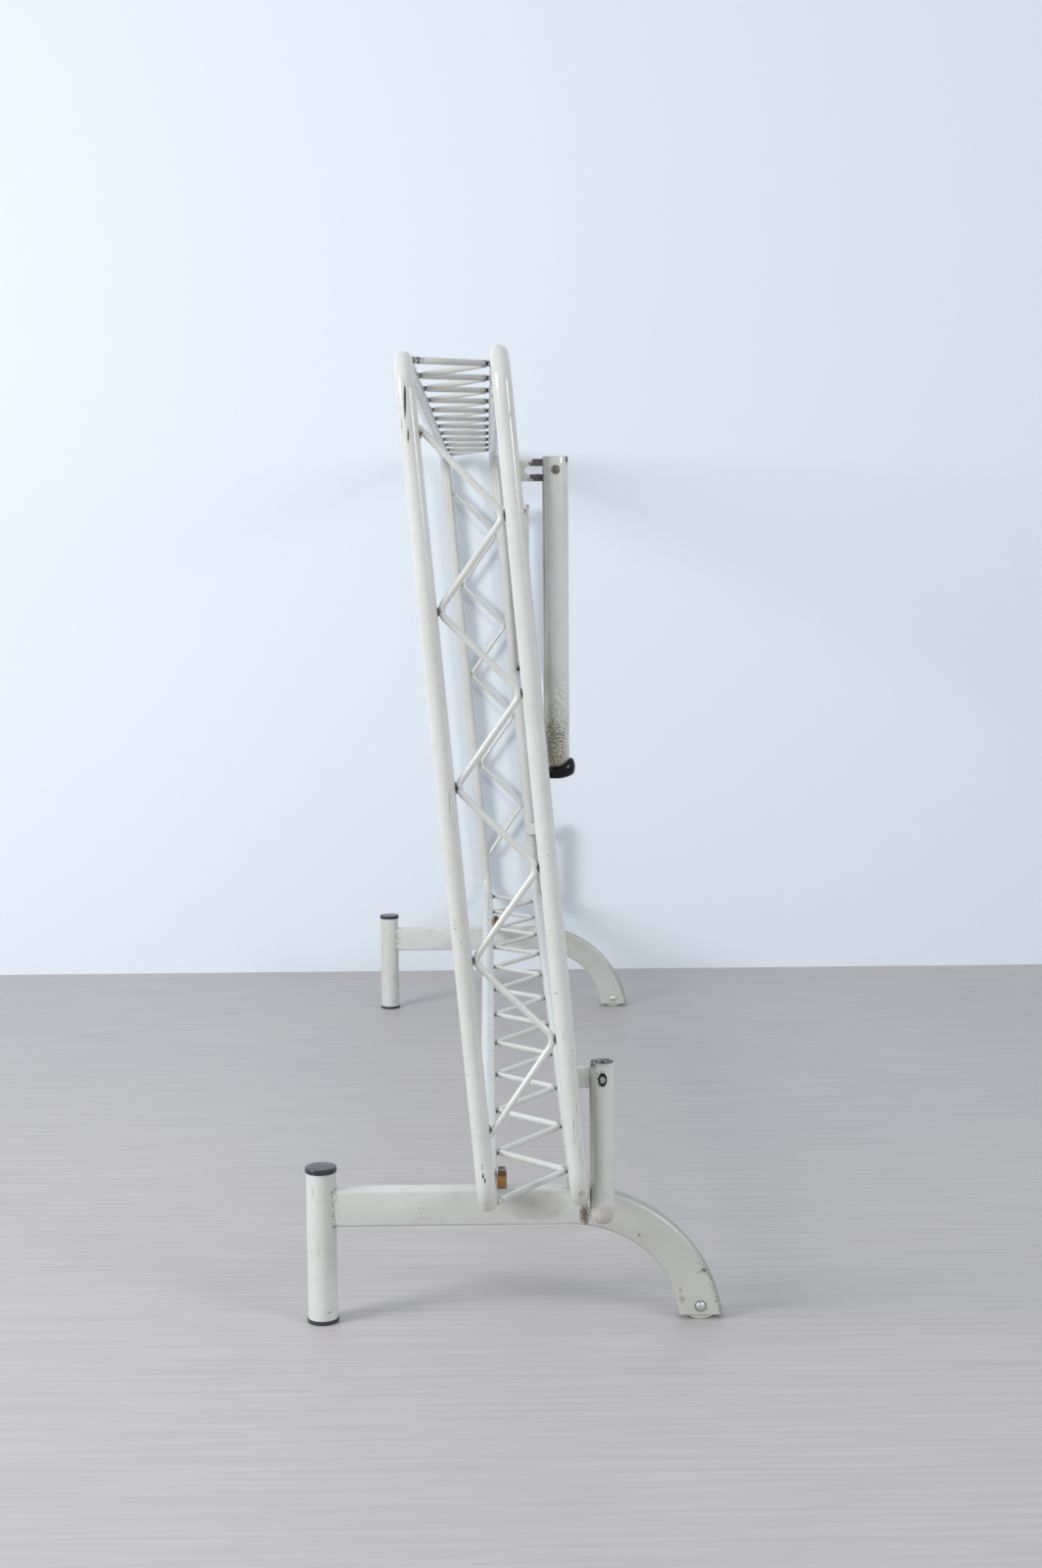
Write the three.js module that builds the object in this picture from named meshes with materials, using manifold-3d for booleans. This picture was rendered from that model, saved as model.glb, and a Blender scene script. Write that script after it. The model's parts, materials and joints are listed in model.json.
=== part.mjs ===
// A free-standing drying and hanging rack made of bent steel tube.
// Two upright loops of round tube lean side by side, joined by zigzag rods. They stand on two feet,
// each with a post on one side and a glide on the other, and carry four folding hanging arms.
// Millimetres, +Z up. X runs across the feet from the posts to the glides, Y along the loops.
// The origin is on the floor, under the middle of the rack.
import * as THREE from "three";
import { mergeVertices } from "three/addons/utils/BufferGeometryUtils.js";
import Module from "manifold-3d";

const wasm = await Module();
wasm.setup();

// ---- Driving dimensions ----
const GAP = 0.3; // left between neighbouring pieces

// Loops and the zigzag rods between them
const FRAME_LENGTH = 2280; // between the centre lines of the end tubes
const FRAME_HEIGHT = 978; // between the centre lines of the rails, along the lean
const LOOP_SPACING = 107.7;
const LEAN = THREE.MathUtils.degToRad(5.1); // the top leans towards the posts
const LOOP_RADIUS = 11;
const LOOP_WALL = 1.5;
const LOOP_BEND = 40;
const LEFT_RAIL_X = -31.4;
const RIGHT_LOOP_DROP = 2.9; // the right loop sits this much lower along the lean
const ROD_RADIUS = 4;
const ROD_PITCH = 200;
const ROD_BEND = 14;
const RAIL_PERIODS = 11;
const END_PERIODS = 4;
const END_ROD_START = 95; // first bend of an end rod, above the lower rail

// Feet
const FOOT_Y = [-1006, 785];
const STAND_WIDTH = 510.8;
const POST_RADIUS = 18.5;
const POST_WALL = 2;
const POST_HEIGHT = 195.6; // with both caps
const CAP_RADIUS = 19.5;
const TOP_CAP_RIM = 6.6;
const FOOT_CAP_RIM = 5;
const CAP_PLUG = 16;
const BAR_HEIGHT = 46;
const BAR_THICKNESS = 25;
const BAR_WALL = 2;
const BAR_CORNER = 4;
const BAR_TOP = 167.5;
const BAR_SWEEP = 168.5; // centre-line radius of the bend down to the glide
const BAR_CUT_Z = 6;
const FLARE_START = THREE.MathUtils.degToRad(45); // along the bend, where its inside starts to spread
const FLARE = 0.3; // how much the bend's inner half has spread after 35 degrees more
const GLIDE_X = 227.5;
const GLIDE_HALF_WIDTH = 18;
const GLIDE_CURVE = 28.5; // radius of the glide's rounded underside
const GLIDE_TOP = 30;
const RIVET_Z = 17;
const RIVET_RADIUS = 3;
const RIVET_HEAD_RADIUS = 5.7;
const RIVET_HEAD_HEIGHT = 3;

// Rail clips and seats on the feet
const CLIP_DEPTH = 20;
const CLIP_WIDTH = 11;
const CLIP_HEIGHT = 22;
const CLIP_CORNER = 4;
const SCREW_RADIUS = 1.75;
const SCREW_HEAD_RADIUS = 3.2;
const SCREW_HEAD_HEIGHT = 2.4;
const SCREW_SINK = 3.6; // from the clip's top down to the underside of the screw's head
const SEAT_SIZE = 16;

// Hanging arms
const ARM_INSET = 28; // from the end tubes' plane in to the arms' plane
const ARM_RADIUS = 14.75;
const ARM_WALL = 1.75;
const PLATE_HEIGHT = 26;
const PLATE_THICKNESS = 5;
const PIN_RADIUS = 4;
const PIN_HEAD_RADIUS = 5;
const PIN_HEAD_HEIGHT = 2.2;
const NUT_ACROSS_CORNERS = 15;
const NUT_HEIGHT = 6;
const TIP_RADIUS = 16;
const TIP_HEEL = 21.4; // from the arm's centre line to the heel's outer face
const TIP_HEIGHT = 23;
const TIP_BELOW = 10.5; // how far the tip stands below the arm's domed end
const ARMS = {
  upper: { pivotX: 51.4, pivotZ: 1030, above: 15, below: 338.5, slotTravel: 30, tip: true, hole: "round" },
  lower: { pivotX: 102.2, pivotZ: 329.6, above: 18.5, below: 176.5, slotTravel: 0, tip: false, hole: "oval" },
};
const OVAL_HOLE = { halfWidth: 5, halfHeight: 8 };

// ---- Worked-out places ----
const POST_X = -STAND_WIDTH / 2 + CAP_RADIUS;
const BAR_CENTRE_Z = BAR_TOP - BAR_HEIGHT / 2;
const SWEEP_CENTRE_Z = BAR_CENTRE_Z - BAR_SWEEP;
const BAR_OUTER_SWEEP = BAR_SWEEP + BAR_HEIGHT / 2;
const SWEEP_START_X = STAND_WIDTH / 2 - Math.sqrt(BAR_OUTER_SWEEP ** 2 - (BAR_CUT_Z - SWEEP_CENTRE_Z) ** 2);
const LEFT_RAIL_Z = BAR_TOP + GAP + LOOP_RADIUS;
const RIGHT_RAIL = pointOnFrame(LOOP_SPACING, -RIGHT_LOOP_DROP);
const ROD_OFFSET = LOOP_RADIUS + ROD_RADIUS + GAP; // from a loop's centre line to a rod's
const CLIP_X = LEFT_RAIL_X + LOOP_RADIUS + GAP + CLIP_WIDTH / 2;
const CLIP_TOP = BAR_TOP + GAP + CLIP_HEIGHT;

// ---- Materials ----
function finish(color, roughness, metalness) {
  return new THREE.MeshStandardMaterial({ color, roughness, metalness });
}
const LACQUER = finish(0xc9c8bd, 0.35, 0.1);
const BLACK_PLASTIC = finish(0x20232a, 0.45, 0);
const BARE_STEEL = finish(0x4a4642, 0.5, 0.9);
const ZINC_STEEL = finish(0xb8babc, 0.3, 1);
const AMBER_PLASTIC = finish(0xb0792c, 0.4, 0);
const PALE_PLASTIC = finish(0xc4c4bb, 0.5, 0);

// ---- Geometry helpers ----

// A route made of straight stretches and round bends, sampled only where it turns.
class BentPath extends THREE.Curve {
  constructor(corners, bendRadius, stepsPerBend) {
    super();
    this.stations = [station(corners[0], direction(corners[0], corners[1]))];
    for (let i = 1; i < corners.length - 1; i += 1) {
      this.addBend(corners[i - 1], corners[i], corners[i + 1], bendRadius, stepsPerBend);
    }
    const last = corners.length - 1;
    this.stations.push(station(corners[last], direction(corners[last - 1], corners[last])));
  }

  addBend(before, corner, after, radius, steps) {
    const into = direction(before, corner);
    const out = direction(corner, after);
    const turn = into.angleTo(out);
    const start = corner.clone().addScaledVector(into, -radius * Math.tan(turn / 2));
    const inward = out.clone().addScaledVector(into, -out.dot(into)).normalize();
    for (let step = 0; step <= steps; step += 1) {
      const angle = (turn * step) / steps;
      const point = start.clone();
      point.addScaledVector(into, radius * Math.sin(angle));
      point.addScaledVector(inward, radius * (1 - Math.cos(angle)));
      const tangent = into.clone().multiplyScalar(Math.cos(angle)).addScaledVector(inward, Math.sin(angle));
      this.stations.push(station(point, tangent));
    }
  }

  get steps() {
    return this.stations.length - 1;
  }

  stationAt(t) {
    return this.stations[Math.round(t * this.steps)];
  }

  getPoint(t, target = new THREE.Vector3()) {
    return target.copy(this.stationAt(t).point);
  }

  getPointAt(t, target) {
    return this.getPoint(t, target);
  }

  getTangent(t, target = new THREE.Vector3()) {
    return target.copy(this.stationAt(t).tangent);
  }

  getTangentAt(t, target) {
    return this.getTangent(t, target);
  }
}

function station(point, tangent) {
  return { point: point.clone(), tangent: tangent.clone() };
}

function direction(from, to) {
  return to.clone().sub(from).normalize();
}

function polygon(radius, sides) {
  const corners = [];
  for (let i = 0; i < sides; i += 1) {
    const angle = (2 * Math.PI * i) / sides;
    corners.push(new THREE.Vector2(radius * Math.cos(angle), radius * Math.sin(angle)));
  }
  return corners;
}

function tubeSection(radius, wall, sides) {
  const section = new THREE.Shape(polygon(radius, sides));
  section.holes.push(new THREE.Path(polygon(radius - wall, sides).reverse()));
  return section;
}

function arc(x, y, radius, from, to, steps) {
  const points = [];
  for (let step = 0; step <= steps; step += 1) {
    const angle = from + ((to - from) * step) / steps;
    points.push(new THREE.Vector2(x + radius * Math.cos(angle), y + radius * Math.sin(angle)));
  }
  return points;
}

// Drops a point that repeats the one before it, as where two arcs meet.
function closedOutline(points, ShapeType = THREE.Shape) {
  const kept = points.filter((point, i) => point.distanceTo(points.at(i - 1)) > 0.01);
  return new ShapeType(kept);
}

function roundedRectangle(width, height, corner) {
  const x = width / 2 - corner;
  const y = height / 2 - corner;
  return [
    ...arc(x, y, corner, 0, Math.PI / 2, 2),
    ...arc(-x, y, corner, Math.PI / 2, Math.PI, 2),
    ...arc(-x, -y, corner, Math.PI, 1.5 * Math.PI, 2),
    ...arc(x, -y, corner, 1.5 * Math.PI, 2 * Math.PI, 2),
  ];
}

function sweep(section, path) {
  return new THREE.ExtrudeGeometry(section, { steps: path.steps, extrudePath: path });
}

// A flat outline made thick, centred on its own plane.
function plate(outline, thickness) {
  const geometry = new THREE.ExtrudeGeometry(outline, { depth: thickness, bevelEnabled: false });
  return geometry.translate(0, 0, -thickness / 2);
}

// A turned piece about +Z, from [radius, height] pairs that rise.
function turned(profile, sides) {
  const points = profile.map(([radius, height]) => new THREE.Vector2(radius, height));
  return new THREE.LatheGeometry(points, sides).rotateX(Math.PI / 2);
}

function rod(radius, length, sides = 16) {
  return new THREE.CylinderGeometry(radius, radius, length, sides);
}

function block(low, high) {
  const size = high.map((value, axis) => value - low[axis]);
  const centre = high.map((value, axis) => (value + low[axis]) / 2);
  return new THREE.BoxGeometry(...size).translate(...centre);
}

function toSolid(geometry) {
  const bare = geometry.clone();
  bare.deleteAttribute("normal");
  bare.deleteAttribute("uv");
  const merged = mergeVertices(bare, 1e-4);
  const vertProperties = new Float32Array(merged.attributes.position.array);
  const triVerts = new Uint32Array(merged.index.array);
  return new wasm.Manifold(new wasm.Mesh({ numProp: 3, vertProperties, triVerts }));
}

function toGeometry(solid) {
  const mesh = solid.getMesh();
  const geometry = new THREE.BufferGeometry();
  geometry.setAttribute("position", new THREE.BufferAttribute(mesh.vertProperties, 3));
  geometry.setIndex(new THREE.BufferAttribute(mesh.triVerts, 1));
  geometry.computeVertexNormals();
  return geometry;
}

function cut(geometry, ...tools) {
  return toGeometry(tools.reduce((solid, tool) => solid.subtract(toSolid(tool)), toSolid(geometry)));
}

function join(geometry, ...others) {
  return toGeometry(others.reduce((solid, other) => solid.add(toSolid(other)), toSolid(geometry)));
}

// ---- Places on the leaning frame ----

// The X and Z of a point across from the left rail and up along the lean.
function pointOnFrame(across, up) {
  const x = LEFT_RAIL_X + across * Math.cos(LEAN) - up * Math.sin(LEAN);
  const z = LEFT_RAIL_Z + across * Math.sin(LEAN) + up * Math.cos(LEAN);
  return { x, z };
}

function uprightX(z) {
  return RIGHT_RAIL.x - (z - RIGHT_RAIL.z) * Math.tan(LEAN);
}

// ---- The frame: loops and rods, in the leaning group's own X, Y, Z ----

// Half of a loop: one end tube and half of each rail, cut at the middle of the rails.
function loopHalf(end) {
  const middle = (end * GAP) / 2;
  const endY = (end * FRAME_LENGTH) / 2;
  const corners = [
    new THREE.Vector3(0, middle, 0),
    new THREE.Vector3(0, endY, 0),
    new THREE.Vector3(0, endY, FRAME_HEIGHT),
    new THREE.Vector3(0, middle, FRAME_HEIGHT),
  ];
  return sweep(tubeSection(LOOP_RADIUS, LOOP_WALL, 12), new BentPath(corners, LOOP_BEND, 4));
}

// A zigzag rod as [across, along] corners, turned into points by place(). Both its ends stop
// against the left tube.
function zigzagRod(start, periods, place) {
  const halfTurn = Math.atan((LOOP_SPACING - 2 * ROD_OFFSET) / (ROD_PITCH / 2));
  const rounding = ROD_BEND * (1 / Math.cos(halfTurn) - 1);
  const left = ROD_OFFSET - rounding;
  const right = LOOP_SPACING - ROD_OFFSET + rounding;
  const corners = [];
  for (let i = 0; i <= 2 * periods; i += 1) {
    corners.push([i % 2 === 0 ? left : right, start + (i * ROD_PITCH) / 2]);
  }
  corners[0][0] = ROD_OFFSET;
  corners[corners.length - 1][0] = ROD_OFFSET;
  const points = corners.map(([across, along]) => place(across, along));
  return sweep(new THREE.Shape(polygon(ROD_RADIUS, 6)), new BentPath(points, ROD_BEND, 2));
}

function railRod(up) {
  const start = (-RAIL_PERIODS * ROD_PITCH) / 2;
  const drop = (across) => (RIGHT_LOOP_DROP * across) / LOOP_SPACING;
  return zigzagRod(start, RAIL_PERIODS, (across, along) => new THREE.Vector3(across, along, up - drop(across)));
}

function endRod(end) {
  const y = (end * FRAME_LENGTH) / 2;
  return zigzagRod(END_ROD_START, END_PERIODS, (across, up) => new THREE.Vector3(across, y, up));
}

function buildFrame() {
  const frame = new THREE.Group();
  frame.position.set(LEFT_RAIL_X, 0, LEFT_RAIL_Z);
  frame.rotation.y = -LEAN;
  const rightLoop = new THREE.Group();
  rightLoop.position.set(LOOP_SPACING, 0, -RIGHT_LOOP_DROP);
  frame.add(rightLoop);
  for (const [where, end] of [["front", -1], ["back", 1]]) {
    frame.add(piece(`left_loop_${where}`, loopHalf(end), LACQUER));
    rightLoop.add(piece(`right_loop_${where}`, loopHalf(end), LACQUER));
    frame.add(piece(`end_rod_${where}`, endRod(end), LACQUER));
  }
  frame.add(piece("bottom_rod", railRod(0), LACQUER));
  frame.add(piece("top_rod", railRod(FRAME_HEIGHT), LACQUER));
  return frame;
}

// ---- The feet, in a group centred on the foot's own plane ----

// Spreads the inner half of the bar's bend, more and more towards its sawn end.
function flareBend(geometry) {
  const positions = geometry.attributes.position;
  for (let i = 0; i < positions.count; i += 1) {
    const x = positions.getX(i) - SWEEP_START_X;
    const z = positions.getZ(i) - SWEEP_CENTRE_Z;
    const along = Math.atan2(x, z) - FLARE_START;
    const inward = BAR_SWEEP - Math.hypot(x, z);
    if (x > 0 && along > 0 && inward > 0) {
      const spread = (FLARE * along) / THREE.MathUtils.degToRad(35);
      const grown = (BAR_SWEEP - inward * (1 + spread)) / Math.hypot(x, z);
      positions.setX(i, SWEEP_START_X + x * grown);
      positions.setZ(i, SWEEP_CENTRE_Z + z * grown);
    }
  }
  return geometry;
}

function footBar() {
  const outline = closedOutline(roundedRectangle(BAR_HEIGHT, BAR_THICKNESS, BAR_CORNER));
  const inside = [BAR_HEIGHT, BAR_THICKNESS].map((side) => side - 2 * BAR_WALL);
  outline.holes.push(closedOutline(roundedRectangle(...inside, BAR_CORNER - BAR_WALL), THREE.Path));
  const corners = [
    new THREE.Vector3(POST_X, 0, BAR_CENTRE_Z),
    new THREE.Vector3(SWEEP_START_X + BAR_SWEEP, 0, BAR_CENTRE_Z),
    new THREE.Vector3(SWEEP_START_X + BAR_SWEEP, 0, SWEEP_CENTRE_Z - 1),
  ];
  return cut(
    flareBend(sweep(outline, new BentPath(corners, BAR_SWEEP, 10))),
    rod(POST_RADIUS + GAP, POST_HEIGHT, 32).rotateX(Math.PI / 2).translate(POST_X, 0, BAR_CENTRE_Z),
    block([POST_X - BAR_HEIGHT, -BAR_HEIGHT, 0], [POST_X, BAR_HEIGHT, POST_HEIGHT]),
    block([0, -BAR_HEIGHT, -BAR_HEIGHT], [STAND_WIDTH, BAR_HEIGHT, BAR_CUT_Z]),
    rod(RIVET_RADIUS + GAP, 2 * BAR_THICKNESS).translate(GLIDE_X, 0, RIVET_Z),
    rod(SCREW_RADIUS + GAP, 4 * BAR_WALL, 12).rotateX(Math.PI / 2).translate(CLIP_X, 0, BAR_TOP),
  );
}

function postTube() {
  const low = FOOT_CAP_RIM + GAP;
  const high = POST_HEIGHT - TOP_CAP_RIM - GAP;
  const bore = POST_RADIUS - POST_WALL;
  return turned([[bore, low], [POST_RADIUS, low], [POST_RADIUS, high], [bore, high], [bore, low]], 24);
}

// A moulded cap: a rim over the tube's end and a plug inside it. It stands on z = 0, plug up.
function postCap(rimHeight) {
  const plug = POST_RADIUS - POST_WALL - GAP;
  const edge = 1.2;
  const profile = [
    [0, 0],
    [CAP_RADIUS - edge, 0],
    [CAP_RADIUS, edge],
    [CAP_RADIUS, rimHeight],
    [plug, rimHeight],
    [plug, rimHeight + CAP_PLUG],
    [0, rimHeight + CAP_PLUG],
  ];
  return turned(profile, 24);
}

// A plug in the bar's sawn end. Its rounded underside stands on the floor.
function footGlide() {
  const reach = Math.asin(GLIDE_HALF_WIDTH / GLIDE_CURVE);
  const outline = closedOutline([
    ...arc(0, GLIDE_CURVE, GLIDE_CURVE, -Math.PI / 2 - reach, -Math.PI / 2 + reach, 10),
    new THREE.Vector2(GLIDE_HALF_WIDTH, GLIDE_TOP),
    new THREE.Vector2(-GLIDE_HALF_WIDTH, GLIDE_TOP),
  ]);
  return cut(
    plate(outline, BAR_THICKNESS - 2 * BAR_WALL - 2 * GAP).rotateX(Math.PI / 2),
    rod(RIVET_RADIUS + GAP, 2 * BAR_THICKNESS).translate(0, 0, RIVET_Z),
  ).translate(GLIDE_X, 0, 0);
}

// The rivet that holds the glide, with a domed head at each end.
function footRivet() {
  const face = BAR_THICKNESS / 2 + GAP;
  const top = face + RIVET_HEAD_HEIGHT;
  const shoulder = face + 0.4 * RIVET_HEAD_HEIGHT;
  const upper = [
    [RIVET_RADIUS, face],
    [RIVET_HEAD_RADIUS, face],
    [0.9 * RIVET_HEAD_RADIUS, shoulder],
    [0.5 * RIVET_HEAD_RADIUS, top - 0.4],
    [0, top],
  ];
  const lower = upper.map(([radius, height]) => [radius, -height]).reverse();
  return turned([...lower, ...upper], 16).rotateX(Math.PI / 2).translate(GLIDE_X, 0, RIVET_Z);
}

// A moulded block beside the left rail, screwed down to the bar.
function railClip() {
  const half = CLIP_WIDTH / 2;
  const corner = arc(half - CLIP_CORNER, CLIP_TOP - CLIP_CORNER, CLIP_CORNER, 0, Math.PI / 2, 6);
  const outline = closedOutline([
    new THREE.Vector2(-half, BAR_TOP + GAP),
    new THREE.Vector2(half, BAR_TOP + GAP),
    ...corner,
    new THREE.Vector2(-half, CLIP_TOP),
  ]);
  const sink = 2 * SCREW_SINK;
  return cut(
    plate(outline, CLIP_DEPTH).rotateX(Math.PI / 2),
    rod(SCREW_RADIUS + GAP, 4 * CLIP_HEIGHT, 12).rotateX(Math.PI / 2).translate(0, 0, CLIP_TOP),
    rod(SCREW_HEAD_RADIUS + GAP, sink, 16).rotateX(Math.PI / 2).translate(0, 0, CLIP_TOP),
  ).translate(CLIP_X, 0, 0);
}

function clipScrew() {
  const tip = BAR_TOP - 3 * BAR_WALL;
  const head = CLIP_TOP - SCREW_SINK + GAP;
  const profile = [
    [0, tip],
    [SCREW_RADIUS, tip],
    [SCREW_RADIUS, head],
    [SCREW_HEAD_RADIUS, head],
    [0.8 * SCREW_HEAD_RADIUS, head + SCREW_HEAD_HEIGHT],
    [0, head + SCREW_HEAD_HEIGHT],
  ];
  return turned(profile, 12).translate(CLIP_X, 0, 0);
}

// The right rail runs a little higher than the left one, so a small seat carries it.
function railSeat() {
  const half = SEAT_SIZE / 2;
  const x = RIGHT_RAIL.x - 3;
  return block([x - half, -half, BAR_TOP + GAP], [x + half, half, RIGHT_RAIL.z - LOOP_RADIUS - GAP]);
}

function buildFoot(where, y) {
  const foot = new THREE.Group();
  foot.position.y = y;
  foot.add(piece(`foot_bar_${where}`, footBar(), LACQUER));
  const post = new THREE.Group();
  post.position.x = POST_X;
  post.add(piece(`post_${where}`, postTube(), LACQUER));
  post.add(piece(`foot_cap_${where}`, postCap(FOOT_CAP_RIM), BLACK_PLASTIC));
  const topCap = piece(`top_cap_${where}`, postCap(TOP_CAP_RIM), BLACK_PLASTIC);
  topCap.position.z = POST_HEIGHT;
  topCap.rotation.x = Math.PI;
  post.add(topCap);
  foot.add(post);
  foot.add(piece(`glide_${where}`, footGlide(), PALE_PLASTIC));
  foot.add(piece(`foot_rivet_${where}`, footRivet(), ZINC_STEEL));
  foot.add(piece(`rail_clip_${where}`, railClip(), AMBER_PLASTIC));
  foot.add(piece(`clip_screw_${where}`, clipScrew(), BARE_STEEL));
  foot.add(piece(`rail_seat_${where}`, railSeat(), LACQUER));
  return foot;
}

// ---- The hanging arms, in a group at the pivot pin ----

// A rounded plate beside the upright, with a slot for the pin and a spacer to the tube.
function bracket(arm, inward) {
  const upright = uprightX(arm.pivotZ) - arm.pivotX;
  const half = PLATE_HEIGHT / 2 - 0.5;
  const spacer = { low: upright - 7, high: upright + 4 };
  const outline = closedOutline([
    new THREE.Vector2(spacer.low, -half),
    ...arc(0, 0, half, -Math.PI / 2, Math.PI / 2, 12),
    new THREE.Vector2(spacer.low, half),
  ]);
  const slotRadius = PIN_RADIUS + 0.5;
  const slot = [
    ...arc(0, 0, slotRadius, -Math.PI / 2, Math.PI / 2, 8),
    ...arc(-arm.slotTravel, 0, slotRadius, Math.PI / 2, 1.5 * Math.PI, 8),
  ];
  outline.holes.push(closedOutline(slot, THREE.Path));
  const nearFace = -inward * (PLATE_THICKNESS / 2 - 1);
  const tubeSide = -inward * ARM_INSET;
  const spacerBlock = block(
    [spacer.low, Math.min(nearFace, tubeSide), -half],
    [spacer.high, Math.max(nearFace, tubeSide), half],
  );
  const tube = rod(LOOP_RADIUS + GAP, 4 * PLATE_HEIGHT, 32).rotateX(Math.PI / 2).rotateY(-LEAN);
  const blank = join(plate(outline, PLATE_THICKNESS).rotateX(Math.PI / 2), spacerBlock);
  return cut(blank, tube.translate(upright, tubeSide, 0));
}

// An open tube with a domed lower end, sawn across its top to straddle the bracket's plate.
function armTube(arm, inward) {
  const bore = ARM_RADIUS - ARM_WALL;
  const domeZ = -arm.below + ARM_RADIUS;
  const profile = [];
  for (let step = 0; step <= 5; step += 1) {
    const angle = ((step / 5) * Math.PI) / 2;
    profile.push([ARM_RADIUS * Math.sin(angle), domeZ - ARM_RADIUS * Math.cos(angle)]);
  }
  profile.push([ARM_RADIUS, arm.above], [bore, arm.above]);
  for (let step = 4; step >= 0; step -= 1) {
    const angle = ((step / 4) * Math.PI) / 2;
    profile.push([bore * Math.sin(angle), domeZ - bore * Math.cos(angle)]);
  }
  const sawHalf = PLATE_THICKNESS / 2 + 0.6;
  const innerHole = rod(PIN_RADIUS + GAP, 2 * ARM_RADIUS).translate(0, inward * ARM_RADIUS, 0);
  const outerHole = (radius) => rod(radius + GAP, 2 * ARM_RADIUS).translate(0, -inward * ARM_RADIUS, 0);
  const ovalHole = outerHole(OVAL_HOLE.halfWidth).scale(1, 1, OVAL_HOLE.halfHeight / OVAL_HOLE.halfWidth);
  const tools = [
    block([-2 * ARM_RADIUS, -sawHalf, -PLATE_HEIGHT / 2 - 1], [2 * ARM_RADIUS, sawHalf, 2 * arm.above]),
    innerHole,
    arm.hole === "oval" ? ovalHole : outerHole(PIN_RADIUS),
  ];
  if (arm.tip) {
    tools.push(rod(PIN_RADIUS + GAP, 4 * ARM_WALL, 12).rotateX(Math.PI / 2).translate(0, 0, -arm.below));
  }
  return cut(turned(profile, 20), ...tools);
}

// The pin's head is outside the arm, or sunk in the oval hole. Its other end carries the nut.
function pivotPin(arm) {
  const seat = arm.hole === "oval" ? ARM_RADIUS - ARM_WALL - PIN_HEAD_HEIGHT : ARM_RADIUS + GAP;
  const profile = [
    [0, -ARM_RADIUS - NUT_HEIGHT - 3],
    [PIN_RADIUS, -ARM_RADIUS - NUT_HEIGHT - 3],
    [PIN_RADIUS, seat],
    [PIN_HEAD_RADIUS, seat],
    [PIN_HEAD_RADIUS, seat + 0.5 * PIN_HEAD_HEIGHT],
    [0.6 * PIN_HEAD_RADIUS, seat + PIN_HEAD_HEIGHT],
    [0, seat + PIN_HEAD_HEIGHT],
  ];
  return turned(profile, 16);
}

function pinNut() {
  const centre = -ARM_RADIUS - GAP - NUT_HEIGHT / 2;
  const hexagon = rod(NUT_ACROSS_CORNERS / 2, NUT_HEIGHT, 6).rotateX(Math.PI / 2);
  return cut(hexagon, rod(PIN_RADIUS + GAP, 2 * NUT_HEIGHT).rotateX(Math.PI / 2)).translate(0, 0, centre);
}

// A moulded boot over the arm's end. Its heel stands up at the outside when the arm is raised,
// so that hangers can't slide off, and its peg goes through the hole in the dome.
function armTip(arm) {
  const bottom = -arm.below - TIP_BELOW;
  const bevel = 2.5;
  const inside = TIP_RADIUS - bevel;
  const heel = TIP_HEEL - bevel;
  const heelRound = 0.75 * inside;
  const outline = closedOutline([
    ...arc(0, 0, inside, Math.PI / 2, 1.5 * Math.PI, 10),
    ...arc(heel - heelRound, 0, heelRound, -Math.PI / 3, Math.PI / 3, 6),
  ]);
  const body = new THREE.ExtrudeGeometry(outline, {
    depth: TIP_HEIGHT - 2 * bevel,
    bevelSize: bevel,
    bevelThickness: bevel,
    bevelSegments: 2,
  }).translate(0, 0, bottom + bevel);
  const domeZ = -arm.below + ARM_RADIUS;
  const dome = new THREE.SphereGeometry(ARM_RADIUS + GAP, 24, 16).rotateX(Math.PI / 2).translate(0, 0, domeZ);
  const slope = Math.atan2(TIP_HEIGHT - TIP_BELOW + 1, TIP_HEEL + TIP_RADIUS);
  const above = block([-60, -60, 0], [60, 60, 60]).rotateY(-slope).translate(0, 0, bottom + TIP_HEIGHT * 0.72);
  const peg = rod(PIN_RADIUS, 3 * ARM_WALL + GAP, 12).rotateX(Math.PI / 2).translate(0, 0, -arm.below + ARM_WALL);
  return join(cut(body, dome, above), peg);
}

function buildArm(level, where, end) {
  const arm = ARMS[level];
  const inward = -end;
  const name = `${level}_${where}`;
  const group = new THREE.Group();
  group.position.set(arm.pivotX, end * (FRAME_LENGTH / 2 - ARM_INSET), arm.pivotZ);
  group.add(piece(`bracket_${name}`, bracket(arm, inward), LACQUER));
  group.add(piece(`arm_${name}`, armTube(arm, inward), LACQUER));
  const pin = new THREE.Group();
  pin.rotation.x = (inward * Math.PI) / 2;
  pin.add(piece(`pivot_pin_${name}`, pivotPin(arm), BARE_STEEL));
  pin.add(piece(`pivot_nut_${name}`, pinNut(), BARE_STEEL));
  group.add(pin);
  if (arm.tip) {
    group.add(piece(`arm_tip_${name}`, armTip(arm), BLACK_PLASTIC));
  }
  return group;
}

function piece(name, geometry, material) {
  const mesh = new THREE.Mesh(geometry, material);
  mesh.name = name;
  return mesh;
}

// ---- The rack ----
const rack = new THREE.Group();
rack.add(buildFrame());
FOOT_Y.forEach((y, index) => rack.add(buildFoot(["front", "back"][index], y)));
for (const [where, end] of [["front", -1], ["back", 1]]) {
  rack.add(buildArm("upper", where, end));
  rack.add(buildArm("lower", where, end));
}

export default rack;
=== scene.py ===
"""Looks of the drying rack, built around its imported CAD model. Lengths below are millimetres."""

import json
import math
import random

import bmesh
import bpy
from mathutils import Matrix, Vector

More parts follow.
